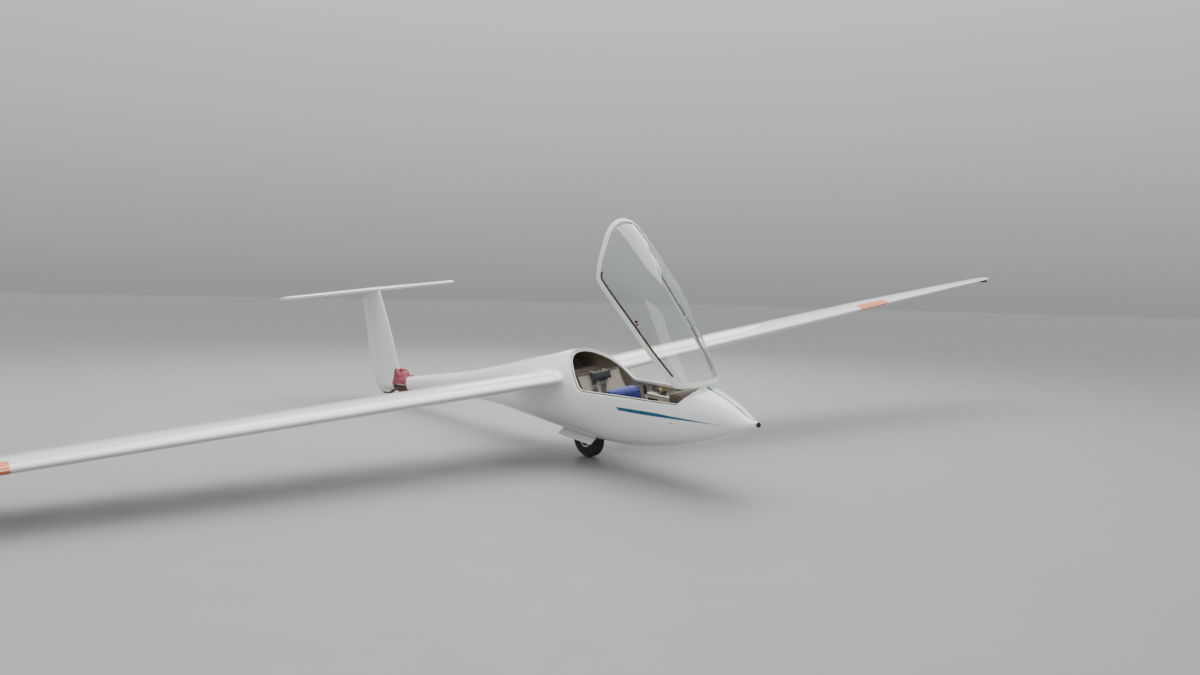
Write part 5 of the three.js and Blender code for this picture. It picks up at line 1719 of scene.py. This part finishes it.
def make_canopy_fittings():
    """Hinge arms, the sliding window, the latches and the vent knob"""
    station, z = CANOPY_HINGE
    neck = [(2, -12.5), (24, -43), (84, -39), (84, 26), (66, 45), (52, 42), (64, 22), (66, -20), (34, -23),
            (10, 5)]
    outline = [(station + aft, z + up) for aft, up in neck]
    arms = []
    for y in (-45, 45):
        arms.append(side_slab(rounded([(*corner, 5) for corner in outline], 5), y - 4.6, y + 4.6))
        arms.append(lathe([(5.7, y - 5), (12, y - 5), (12, y + 5), (5.7, y + 5)], 32, (-station, 0, z)))
    make("hinge_arms", opened(joined(*arms)), "alloy_worn", "canopy")
    dress("alloy_worn", "canopy_hinge_lugs")
    low = [(1262, 236), (1400, 246), (1560, 264), (1712, 286)]
    high = [(1222, 256), (1360, 276), (1500, 300), (1648, 327)]
    rails = [bar(skin_line(line, 9.5), 4.2, 10, flat=0.8) for line in (low, high)]
    make("window_rails", opened(joined(*rails)), "frame_satin", "canopy", angle=60)
    pane = skin_patch([(1372, 276), (1640, 323)], [(1390, 250), (1672, 286)], (7.2, 9.6), 1, 24, 7)
    make("window_pane", opened(pane), "perspex_clear", "canopy")
    ends = [bar(skin_line(line, 10), 3.2, 8) for line in
            ([(1372, 276), (1381, 263), (1390, 250)], [(1640, 323), (1656, 305), (1672, 286)])]
    make("window_ends", opened(joined(*ends)), "frame_satin", "canopy", angle=60)
    vent = skin_line([(1150, 248), (1151, 248)], 12, side=-1, count=2)[0]
    inward = -hull_normal(vent[None])[0]
    knobs = [aimed(disc(11, 14, 3, 24), inward, vent), aimed(disc(6, 10, 1, 20), inward, vent - inward * 6)]
    make("vent_knob", opened(joined(*knobs)), "knob_plastic", "canopy", angle=50)
    latches = []
    for (label, side), look in zip(SIDES, ("frame_satin", "knob_red")):
        line = skin_line([(1048, 218), (1072, 222), (1098, 226), (1130, 236)], 22, side, 14)
        latches.append(bar(line, 3.6, 10))
        latches.append(bar(skin_line([(1040, 206), (1044, 222)], 18, side, 4), 7, 10, flat=0.6))
        ball = lathe([(0.005, -10), (6, -9), (10, -4), (10.5, 3), (7, 9), (0.005, 10.5)], 20)
        ball = aimed(ball, (1, 0, 0), line[-1])
        make(f"latch_ball_{label}", opened(ball), look, "canopy", angle=60)
    for s, up in ((1600, 238), (760, 190)):
        for side in (1, -1):
            latches.append(bar(skin_line([(s, up), (s + 22, up + 4)], 17, side, 4), 5, 10))
    make("latch_levers", opened(joined(*latches)), "alloy_worn", "canopy", angle=50)


# Landing gear
def make_well():
    """The box round the main wheel"""
    fore, aft, half, wall, top = WELL_FROM, WELL_TO, WELL_HALF, 8, -70
    shapes = []
    for side in (1, -1):
        rings = []
        for s in np.linspace(fore - wall, aft + wall, 20):
            low = hull_height(s, half, 4, under=True)
            rings.append([(-s, side * half, top), (-s, side * (half + wall), top),
                          (-s, side * (half + wall), low), (-s, side * half, low)])
        shapes.append(loft(rings))
    ys = np.linspace(-half, half, 15)
    for s in (fore - wall, aft):
        low = [(y, hull_height(s + wall / 2, y, 4, under=True)) for y in ys]
        rings = [[(-level, *p) for p in low + [(half, top), (-half, top)]] for level in (s, s + wall)]
        shapes.append(loft(rings))
    shapes.append(station_block((fore - wall, aft + wall), (-half - wall, half + wall), (top, top + wall)))
    make("wheel_well", joined(*shapes), "frame_satin")


def mirror_profile(half):
    return half + [(radius, -along) for radius, along in half[::-1]]


TYRE = [(71, -40.5), (80, -44.2), (86, -48), (96, -54), (108, -59.2), (109, -60.6), (113, -61.6), (115, -61),
        (125, -62.2), (136, -61.8), (146, -58.6), (150, -57.4), (152, -57.4), (157, -52.6), (163.5, -45.5),
        (169, -36.5), (171.8, -29), (172.2, -27.6), (168.6, -26.8), (168.6, -23.4), (173, -22.6),
        (173.8, -10.6), (170, -9.8), (170, -6.4), (173.8, -5.6)]
RIM = [(11, -54), (20.5, -54), (22, -52.5), (22, -27), (25, -23.5), (40, -20.4), (56, -17.6), (60, -19.5),
       (63, -27), (64, -44), (66, -48), (78.5, -50), (80, -49), (80, -46.5), (70.5, -43)]


def make_gear():
    """Main wheel, brake drum, fork fittings, doors with their links, and the release hook"""
    centre = (-MAIN_AXLE[0], 0, MAIN_AXLE[1])
    tyre = make("tyre_rubber", lathe(mirror_profile(TYRE), 96, centre), "tyre_dusty", "main_wheel",
                angle=40)
    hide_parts("main_tyre")
    rim = make("rim_alloy", lathe(mirror_profile(RIM), 72, centre), "alloy_worn", "main_wheel",
               angle=40)
    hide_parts("main_rim")
    drum = lathe([(26, 26), (52, 26), (54, 28), (54, 52), (51, 55), (47, 55), (46, 58), (26, 58)], 60, centre)
    make("brake_drum", drum, "steel_zinc", "main_wheel")
    bolts = []
    for radius, level in ((47, -21.2), (30, -24.6)):
        for turn in np.linspace(0.2, 0.2 + math.tau, 6, endpoint=False):
            bolts.append((centre[0] + radius * math.cos(turn), level, centre[2] + radius * math.sin(turn)))
    values = {"Radius": 0.0052, "Height": 0.007, "Sides": 6}
    grown("rim_bolts", "fasteners", bolts, values, "steel_zinc", "main_wheel", "steel",
          facing=[(0, -1, 0)] * len(bolts))
    valve = bar([(-1942, -20, -291), (-1943, -40, -291)], 4, 12, up=(1, 0, 0))
    make("tyre_valve", valve, "rubber_matt", "main_wheel")
    dress("steel_zinc", "gear_fork")
    fittings = []
    for side in (1, -1):
        for radius, start, deep, count in ((15, 81, 2, 24), (12.5, 83, 7, 6)):
            place = (centre[0], side * start, centre[2])
            fittings.append(aimed(disc(radius, deep, 0.8, count), (0, side, 0), place))
        stay = [(-2010, side * 84, -280), (-2034, side * 84, -170), (-2040, side * 84, -110)]
        fittings.append(bar(stay, 4.5, 10, up=(0, 1, 0)))
        fittings.append(aimed(disc(9, 5, 0.8, 6), (0, side, 0), (-2040, side * 81, -112)))
        fittings.append(aimed(disc(9, 5, 0.8, 6), (0, side, 0), (-2010, side * 81, -280)))
    make("fork_fittings", joined(*fittings), "steel_zinc")
    corners = np.array([(-1730, 96, -234), (-2198, 96, -182), (-2202, 190, -238), (-1728, 190, -291)], float)
    for label, side in SIDES:
        rings, rib = [], []
        for u in np.linspace(0, 1, 16):
            across = np.linspace(0, 1, 9)[:, None]
            line = (corners[0] * (1 - u) + corners[1] * u) * (1 - across) + \
                (corners[3] * (1 - u) + corners[2] * u) * across
            line[:, 2] += 1.6 * np.sin(across[:, 0] * math.pi) * math.sin(u * (1 - u) * math.pi)
            rings.append(folded(line, line + (0, 2, 4.2)))
            rib.append(line)
        plate = make(f"door_skin_{label}", sided(loft(rings), side), "gelcoat_white", angle=40)
        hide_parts(f"gear_door_{label}")
        rib = np.array(rib)
        ribs = [bar(rib[1:-1, k] - (0, 0, 2), 3.4, 8) for k in (3, 5, 7)] + \
            [bar(rib[k, 3:8] - (0, 0, 2), 3.4, 8) for k in (1, 5, 10, 14)]
        make(f"door_ribs_{label}", sided(joined(*ribs), side), "frame_satin", angle=50)
        link = [bar([(-1990, 84, -200), (-1990, 150, -239)], 4.6, 12),
                aimed(disc(10, 6.4), (0, 1, 0), (-1990, 81.6, -200)),
                bar([(-1976, 150, -240), (-2004, 150, -240)], 6, 12)]
        make(f"door_link_{label}", sided(joined(*link), side), "steel_zinc")
    cheek = rounded([(1580, -240, 2), (1590, -286, 8), (1650, -290, 10), (1672, -240, 2)], 6)
    core = [(1588, -244), (1592, -282), (1606, -284), (1606, -269), (1640, -269), (1640, -285), (1650, -286),
            (1666, -244)]
    body = make("tow_hook_body", joined(side_slab(cheek, -20, -14), side_slab(cheek, 14, 20),
                                        side_slab(core, -14.2, 14.2)), "steel_zinc")
    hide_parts("tow_hook")
    jaw = [bar([(-s, 0, z) for s, z in ((1600, -272), (1608, -280), (1622, -284), (1640, -281))], 4, 12)]
    for side in (1, -1):
        for s in (1602, 1650):
            jaw.append(aimed(disc(5.5, 4, 0.8, 6), (0, side, 0), (-s, side * 19.5, -276)))
    make("tow_hook_jaw", joined(*jaw), "alloy_worn", angle=40)


# Tail dolly
SADDLE_TOP = np.array([(5778, 0), (5796, 127), (5864, 166), (5922, 204), (5940, 206)], float)
CREST = np.array([(14, 99), (60, 87), (124, 71), (164, 62), (206, 56)], float)
DOLLY_FROM, DOLLY_TO = 5560.5, 5939.5
DOLLY_WALL = (-12.5, -1.2)
SPLIT = 14.4


def saddle_side(station):
    """The outer line of the saddle's section, from the split to the top: half widths and heights"""
    top = max(hull_sizes(station, DOLLY_WALL[0])[2], straight(SADDLE_TOP, 1, station))
    heights = SPLIT + (top - SPLIT) * np.sin(np.linspace(0, math.pi / 2, 28))
    hull = hull_side(station, heights, DOLLY_WALL[0])
    crest = np.clip((station - 5770) / 40, 0, 1) * straight(CREST, 1, heights)
    crest *= np.clip(1 - ((heights - SPLIT) / (top - SPLIT)) ** 7, 0, 1) ** (1 / 7)
    return np.column_stack([(hull ** 6 + crest ** 6) ** (1 / 6), heights])


def saddle_ring(station):
    """Section of the saddle: over the boom from one side of the split to the other, and back underneath"""
    outer = saddle_side(station)
    inner_top = hull_sizes(station, DOLLY_WALL[1])[2]
    levels = SPLIT + (inner_top - SPLIT) * np.sin(np.linspace(0, math.pi / 2, 16))
    inner = np.column_stack([hull_side(station, levels, DOLLY_WALL[1]), levels])
    section = np.vstack([outer, (outer * (-1, 1))[-2::-1], inner * (-1, 1), inner[-2::-1]])
    share = np.clip((5700 - station) / (5700 - DOLLY_FROM), 0, 1)
    slope = 76 * np.clip((section[:, 1] - 70) / 56, 0, 1) * share
    return np.column_stack([-station - slope, section])


def split_band(side, low, high, proud):
    """A flat strip along the split of the dolly"""
    rings = []
    for s in np.linspace(DOLLY_FROM + 1, DOLLY_TO - 1, 20):
        y_low, y_high = hull_side(s, np.array((low, high)), DOLLY_WALL[0])
        rings.append([(-s, side * (y_low - 0.5), low), (-s, side * (y_low + proud), low),
                      (-s, side * (y_high + proud), high), (-s, side * (y_high - 0.5), high)])
    return loft(rings)


def make_dolly():
    """The clamp on the boom, its handle and trims, and the castor"""
    stations = np.concatenate([np.linspace(DOLLY_FROM, 5766, 12), np.arange(5772, 5934, 6), [5936, DOLLY_TO]])
    upper = make("dolly_saddle", loft([saddle_ring(s) for s in stations]),
                 "dolly_paint", angle=50)
    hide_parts("dolly_upper_clamp")
    rings = []
    turn = np.linspace(0, -math.pi, 41)
    for s in np.linspace(DOLLY_FROM, DOLLY_TO, 24):
        sides = []
        for inset in DOLLY_WALL:
            line = hull_point(np.full(41, s), turn, inset)
            sides.append(np.vstack([(-s, line[0, 1], 13.6), line, (-s, line[-1, 1], 13.6)]))
        rings.append(folded(*sides))
    # The cradle under the boom takes the darkened copy of the dolly red, as painted shade
    lower = make("dolly_cradle", loft(rings), "dolly_paint_shaded", angle=40)
    bevelled(lower, 1.5)
    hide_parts("dolly_lower_clamp")
    block_outline = rounded([(5856, -46, 4), (5938, -46, 4), (5938, -112, 14), (5866, -112, 18)])
    # The castor block takes the same darkened dolly red, as painted shade
    bevelled(make("castor_block", side_slab(block_outline, -33, 33), "dolly_paint_shaded"), 3)
    loop = [(5908, 172), (5876, 183), (5820, 187), (5750, 188), (5694, 186), (5664, 170), (5652, 142),
            (5648, 112)]
    path = curve_through([(-s, 0, z) for s, z in loop], 44)
    make("dolly_handle", bar(path, 10.5, 16, up=(0, 1, 0)), "dolly_grip")
    trim = [split_band(side, 15, 31, 1.6) for side in (1, -1)]
    dark = [split_band(side, -9, 13, 1.2) for side in (1, -1)]
    make("dolly_trim", joined(*trim), "strap_grey", angle=60)
    make("dolly_seals", joined(*dark), "rubber_matt", angle=60)
    rivets, facing, pads = [], [], []
    for side in (1, -1):
        rings = []
        for s in (5906, 5910, 5938, 5939):
            line = saddle_side(s)
            line = resampled(line[line[:, 1] > 148], 24)[:-3]
            slope = np.column_stack([np.gradient(line[:, 1]), -np.gradient(line[:, 0])])
            slope /= np.linalg.norm(slope, axis=1, keepdims=True)
            lift = 0.2 if s in (5906, 5939) else 1.6
            ring = folded(line + slope * lift, line - slope) * (side, 1)
            rings.append(np.column_stack([np.full(len(ring), -s), ring]))
            if s == 5910:
                for k in (3, 8, 13):
                    for place in (5916, 5932):
                        y, z = line[k] + slope[k] * 2
                        rivets.append((-place, side * y, z))
                        facing.append((0, side * slope[k, 0], slope[k, 1]))
        pads.append(loft(rings))
    # The pads take the same darkened dolly red, as painted shade
    make("dolly_pads", joined(*pads), "dolly_paint_shaded", angle=50)
    values = {"Radius": 0.0042, "Height": 0.0016, "Sides": 12}
    grown("dolly_rivets", "fasteners", rivets, values, "alloy_worn", "airframe", "steel", facing=facing)
    steel = []
    for s in (5620, 5760, 5884):
        y = hull_side(s, 20, DOLLY_WALL[0])
        steel.append(station_block((s - 9, s + 9), (y + 1, y + 6), (-18, 44)))
        steel.append(bar([(-s + 13, y + 8, 14), (-s - 13, y + 8, 14)], 4.6, 14))
    bevelled(make("dolly_latches", joined(*steel), "steel_zinc"), 0.8)
    make_castor()


def make_castor():
    """The castor's fork, axle, rim and tyre"""
    sides = rounded([(44, 46, 9), (80, 46, 9), (77, 124, 4), (-18, 124, 4), (-8, 112, 8), (30, 100, 20)], 8)
    shapes = [side_slab(sides, y - 3, y + 3) for y in (-28, 28)]
    shapes.append(station_block((-20, 77), (-31, 31), (124, 131)))
    shapes.append(aimed(disc(10, 40, 1, 32), (0, 0, 1), (0, 0, 131)))
    shapes.append(aimed(disc(21, 4, 1, 40), (0, 0, 1), (0, 0, 131)))
    fork = make("castor_frame", joined(*shapes), "steel_zinc", "castor_fork", place=CASTOR_ROW)
    bevelled(fork, 0.9)
    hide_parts("castor_fork")
    centre = (-62, 0, 60)
    nuts = [bar([np.add(centre, (0, y, 0)) for y in (-33, 33)], 6, 16)]
    for side in (1, -1):
        nuts.append(aimed(disc(10.5, 6, 0.8, 6), (0, side, 0), np.add(centre, (0, side * 31, 0))))
    make("castor_axle", joined(*nuts), "steel_zinc", "castor_fork", place=CASTOR_ROW)
    hub = [(6.8, -20), (11, -20), (12, -19), (12, -12), (15, -9.5), (24, -9.5), (27, -12), (28, -15),
           (30, -15)]
    rim = make("castor_hub", lathe(mirror_profile(hub), 48, centre), "alloy_worn",
               "castor_wheel", place=CASTOR_ROW, angle=40)
    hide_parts("castor_rim")
    tread = [(30.4, -14), (34, -16.6), (40, -18.6), (47, -18.8), (52, -17.4), (56, -14.4), (58.6, -10.6),
             (59.6, -6.4), (57.6, -5.6), (57.6, -3.6), (59.9, -2.8)]
    rubber = make("castor_rubber", lathe(mirror_profile(tread), 72, centre),
                  "tyre_dusty", "castor_wheel", place=CASTOR_ROW, angle=40)
    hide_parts("castor_tyre")


# Small fittings
def skin_disc(station, z, side, radius, height):
    """A flat button on the skin of one side"""
    place = side_place(np.array([(station, z)], float), side)
    normal = hull_normal(place)[0]
    return aimed(disc(radius, height, 0.3, 24), normal, place[0] - normal * 0.6)


def make_fittings():
    """Nose ring, skids, static ports, pin covers and root tapes"""
    nose = [(10.4, -7), (11.4, -8), (16, -8), (18, -6), (18, 3), (16, 7.4), (10.4, 7.4)]
    piece = make("nose_ring_black", aimed(lathe(nose, 48), (-1, 0, 0), (8.3, 0, -0.5)),
                 "rubber_matt")
    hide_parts("nose_ring")
    outline = rounded([(6102, -66, 2), (6128, -92, 12), (6200, -123, 30), (6270, -140, 50), (6478, -145, 20),
                       (6498, -102, 16), (6498, -66, 4)], 8)
    skid = make("skid_shoe", side_slab(outline, -17, 17), "trim_brown")
    bevelled(skid, 4, 3)
    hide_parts("tail_skid")
    dress("rubber_matt", "tip_skid_left", "tip_skid_right")
    ports = [skin_disc(621, 5, side, 6, 1.4) for side in (1, -1)]
    ports += [skin_disc(640 + 46 * k, -6 * k, side, 2.4, 1.2) for side in (1, -1) for k in (1, 2)]
    make("static_ports", joined(*ports), "rubber_matt")
    pins = []
    for side in (1, -1):
        for y, x, radius in ((430, 0.18, 7), (404, 0.72, 6)):
            spot = [wing_point(y + a, x + b, camber_line(x + b, CAMBER) + half_thickness(x + b, 0.1537))
                    for a, b in ((0, 0), (4, 0), (0, -0.005))]
            facing = np.cross(spot[2] - spot[0], spot[1] - spot[0])
            facing /= np.linalg.norm(facing)
            pins.append(sided(aimed(disc(radius, 1.6, 0.4, 24), facing, spot[0] - facing * 0.7), side))
    make("root_pin_covers", joined(*pins), "rubber_matt")
    section = section_whole(0.1575, CAMBER, 40) * (1.0016, 1) - (0.0008, 0)
    inner = section_whole(0.1500, CAMBER, 40) * (0.996, 1) + (0.002, 0)
    rings = [wing_ring(y, line) for y, line in ((348, section), (374, section), (374, inner), (348, inner))]
    tapes = [sided(loft(rings, closed=True), side) for side in (1, -1)]
    make("root_tapes", joined(*tapes), "tape_white", angle=50)


# Camera and stage
CAMERA = {"azimuth": 52.410, "elevation": 4.766, "roll": -5.927, "place": (3.77192, -4.20068, 1.18310),
          "focal": 809.03}


def make_camera():
    azimuth, elevation, roll = (math.radians(CAMERA[k]) for k in ("azimuth", "elevation", "roll"))
    back = Vector((math.sin(azimuth) * math.cos(elevation), -math.cos(azimuth) * math.cos(elevation),
                   math.sin(elevation)))
    right = (-back).cross(Vector((0, 0, 1))).normalized()
    up = right.cross(-back)
    across = math.cos(roll) * right + math.sin(roll) * up
    rise = -math.sin(roll) * right + math.cos(roll) * up
    turn = Matrix((across, rise, back)).transposed().to_4x4()
    data = bpy.data.cameras.new("photo_camera")
    data.sensor_width = 36
    data.lens = 36 * CAMERA["focal"] / 1200
    data.clip_start, data.clip_end = 0.05, 400
    camera = bpy.data.objects.new("photo_camera", data)
    bpy.context.scene.collection.objects.link(camera)
    camera.matrix_world = TO_ROW @ Matrix.Translation(CAMERA["place"]) @ turn
    bpy.context.scene.camera = camera


def make_light(name, place, aim, size, power, colour=(1, 1, 1)):
    data = bpy.data.lights.new(name, "AREA")
    data.shape = "RECTANGLE"
    data.size, data.size_y = size
    data.energy = power
    data.color = colour
    lamp = bpy.data.objects.new(name, data)
    bpy.context.scene.collection.objects.link(lamp)
    lamp.location = place
    lamp.rotation_euler = (Vector(aim) - Vector(place)).to_track_quat("-Z", "Y").to_euler()


def make_stage(sizes):
    """Floor, sky and lights"""
    half = 150
    mesh = bpy.data.meshes.new("studio_floor")
    mesh.from_pydata([(-half, -half, 0), (half, -half, 0), (half, half, 0), (-half, half, 0)], [],
                     [(0, 1, 2, 3)])
    mesh.materials.append(FINISHES["studio_floor"])
    floor = bpy.data.objects.new("studio_floor", mesh)
    bpy.context.scene.collection.objects.link(floor)
    world = bpy.data.worlds.new("studio_sky")
    world.use_nodes = True
    bpy.context.scene.world = world
    graph = Graph(world.node_tree)
    heading = graph.node("ShaderNodeTexCoord").outputs["Generated"]
    height = graph.node("ShaderNodeSeparateXYZ", {"Vector": heading}).outputs["Z"]
    rise = graph.ramp(height, 0.0, 0.6)
    colour = graph.mix(rise, (0.285, 0.29, 0.29, 1), (0.97, 1.0, 1.0, 1))
    background = world.node_tree.nodes["Background"]
    graph.feed(background.inputs["Color"], colour)
    background.inputs["Strength"].default_value = sizes.sky_strength
    make_light("sky_panel", (-2, 1, 9), (-1, 0, 0), (14, 10), sizes.key_power, (1, 0.99, 0.97))
    make_light("side_panel", (9, -9, 6), (0, 0, 0.6), (7, 5), sizes.key_power * 0.14, (0.96, 0.98, 1))
    make_light("back_panel", (-9, 8, 6), (0, 0, 0.6), (8, 4), sizes.key_power * 0.12)


# Operators and settings
class SailplaneSizes(bpy.types.PropertyGroup):
    gelcoat_colour: FloatVectorProperty(name="Gelcoat", description="White of the outer skins",
                                        subtype="COLOR", size=3, min=0, max=1, default=(0.80, 0.805, 0.80))
    stripe_colour: FloatVectorProperty(name="Stripes", description="Colour of the spears and nose stripe",
                                       subtype="COLOR", size=3, min=0, max=1, default=(0.002, 0.088, 0.17))
    patch_colour: FloatVectorProperty(name="Wing bands", description="Colour of the leading edges' bands",
                                      subtype="COLOR", size=3, min=0, max=1, default=(0.80, 0.17, 0.045))
    cushion_colour: FloatVectorProperty(name="Cushion", description="Colour of the back cushion",
                                        subtype="COLOR", size=3, min=0, max=1, default=(0.018, 0.025, 0.27))
    dolly_colour: FloatVectorProperty(name="Dolly", description="Colour of the tail dolly", subtype="COLOR",
                                      size=3, min=0, max=1, default=(0.235, 0.034, 0.050))
    grip_colour: FloatVectorProperty(name="Dolly handle", description="Colour of the dolly's handle",
                                     subtype="COLOR", size=3, min=0, max=1, default=(0.34, 0.030, 0.025))
    canopy_tint: FloatVectorProperty(name="Canopy tint", description="Colour of the clear acrylic",
                                     subtype="COLOR", size=3, min=0, max=1, default=(0.90, 0.93, 0.94))
    canopy_wall: FloatProperty(name="Canopy wall", description="Thickness of the acrylic", unit="LENGTH",
                               default=0.004, min=0.002, max=0.006)
    floor_colour: FloatVectorProperty(name="Floor", description="Colour of the studio floor", subtype="COLOR",
                                      size=3, min=0, max=1, default=(0.275, 0.272, 0.266))
    sky_strength: FloatProperty(name="Sky", description="Strength of the light all round", default=1.15,
                                min=0)
    key_power: FloatProperty(name="Lamp power", description="Power of the panel overhead", unit="POWER",
                             default=1750, min=0)


def sizes_of():
    return bpy.context.scene.sailplane


class SAILPLANE_OT_finishes(bpy.types.Operator):
    """Makes the finishes"""

    bl_idname = "sailplane.finishes"
    bl_label = "Finishes"

    def execute(self, context):
        make_finishes(sizes_of())
        make_trees()
        return {"FINISHED"}


class SAILPLANE_OT_hull(bpy.types.Operator):
    """Makes the fuselage skin"""

    bl_idname = "sailplane.hull"
    bl_label = "Fuselage"

    def execute(self, context):
        make_hull()
        make_stripes()
        return {"FINISHED"}


class SAILPLANE_OT_wings(bpy.types.Operator):
    """Makes the wings, ailerons and airbrakes"""

    bl_idname = "sailplane.wings"
    bl_label = "Wings"

    def execute(self, context):
        make_wings()
        return {"FINISHED"}


class SAILPLANE_OT_tail(bpy.types.Operator):
    """Makes the fin, rudder, tailplane and elevator"""

    bl_idname = "sailplane.tail"
    bl_label = "Tail"

    def execute(self, context):
        make_tail()
        return {"FINISHED"}


class SAILPLANE_OT_canopy(bpy.types.Operator):
    """Makes the canopy and the moulding round its opening"""

    bl_idname = "sailplane.canopy"
    bl_label = "Canopy"

    def execute(self, context):
        make_canopy()
        make_canopy_fittings()
        make_rim()
        return {"FINISHED"}


class SAILPLANE_OT_cockpit(bpy.types.Operator):
    """Makes the seat, cushions, straps, controls and panels"""

    bl_idname = "sailplane.cockpit"
    bl_label = "Cockpit"

    def execute(self, context):
        make_seat()
        make_cushions()
        make_harness()
        make_pod()
        make_stick()
        make_side_panels()
        make_bulkheads()
        return {"FINISHED"}


class SAILPLANE_OT_gear(bpy.types.Operator):
    """Makes the main wheel, its well and its doors"""

    bl_idname = "sailplane.gear"
    bl_label = "Landing gear"

    def execute(self, context):
        make_well()
        make_gear()
        make_fittings()
        return {"FINISHED"}


class SAILPLANE_OT_dolly(bpy.types.Operator):
    """Makes the tail dolly"""

    bl_idname = "sailplane.dolly"
    bl_label = "Tail dolly"

    def execute(self, context):
        make_dolly()
        return {"FINISHED"}


class SAILPLANE_OT_stage(bpy.types.Operator):
    """Makes the camera, the floor and the lights"""

    bl_idname = "sailplane.stage"
    bl_label = "Stage"

    def execute(self, context):
        make_camera()
        make_stage(sizes_of())
        return {"FINISHED"}


OPERATORS = (
    SAILPLANE_OT_finishes,
    SAILPLANE_OT_stage,
    SAILPLANE_OT_hull,
    SAILPLANE_OT_wings,
    SAILPLANE_OT_tail,
    SAILPLANE_OT_canopy,
    SAILPLANE_OT_cockpit,
    SAILPLANE_OT_gear,
    SAILPLANE_OT_dolly,
)


class SAILPLANE_PT_panel(bpy.types.Panel):
    """Lists the pieces in the order they are made"""

    bl_label = "Sailplane"
    bl_idname = "SAILPLANE_PT_panel"
    bl_space_type = "VIEW_3D"
    bl_region_type = "UI"
    bl_category = "Sailplane"

    def draw(self, context):
        for key in SailplaneSizes.__annotations__:
            self.layout.prop(context.scene.sailplane, key)
        for operator in OPERATORS:
            self.layout.operator(operator.bl_idname)


CLASSES = (SailplaneSizes, *OPERATORS, SAILPLANE_PT_panel)


def register():
    for item in CLASSES:
        bpy.utils.register_class(item)
    bpy.types.Scene.sailplane = PointerProperty(type=SailplaneSizes)


def unregister():
    del bpy.types.Scene.sailplane
    for item in reversed(CLASSES):
        bpy.utils.unregister_class(item)


def main():
    register()
    for operator in OPERATORS:
        group, name = operator.bl_idname.split(".")
        getattr(getattr(bpy.ops, group), name)()


if __name__ == "__main__":
    main()
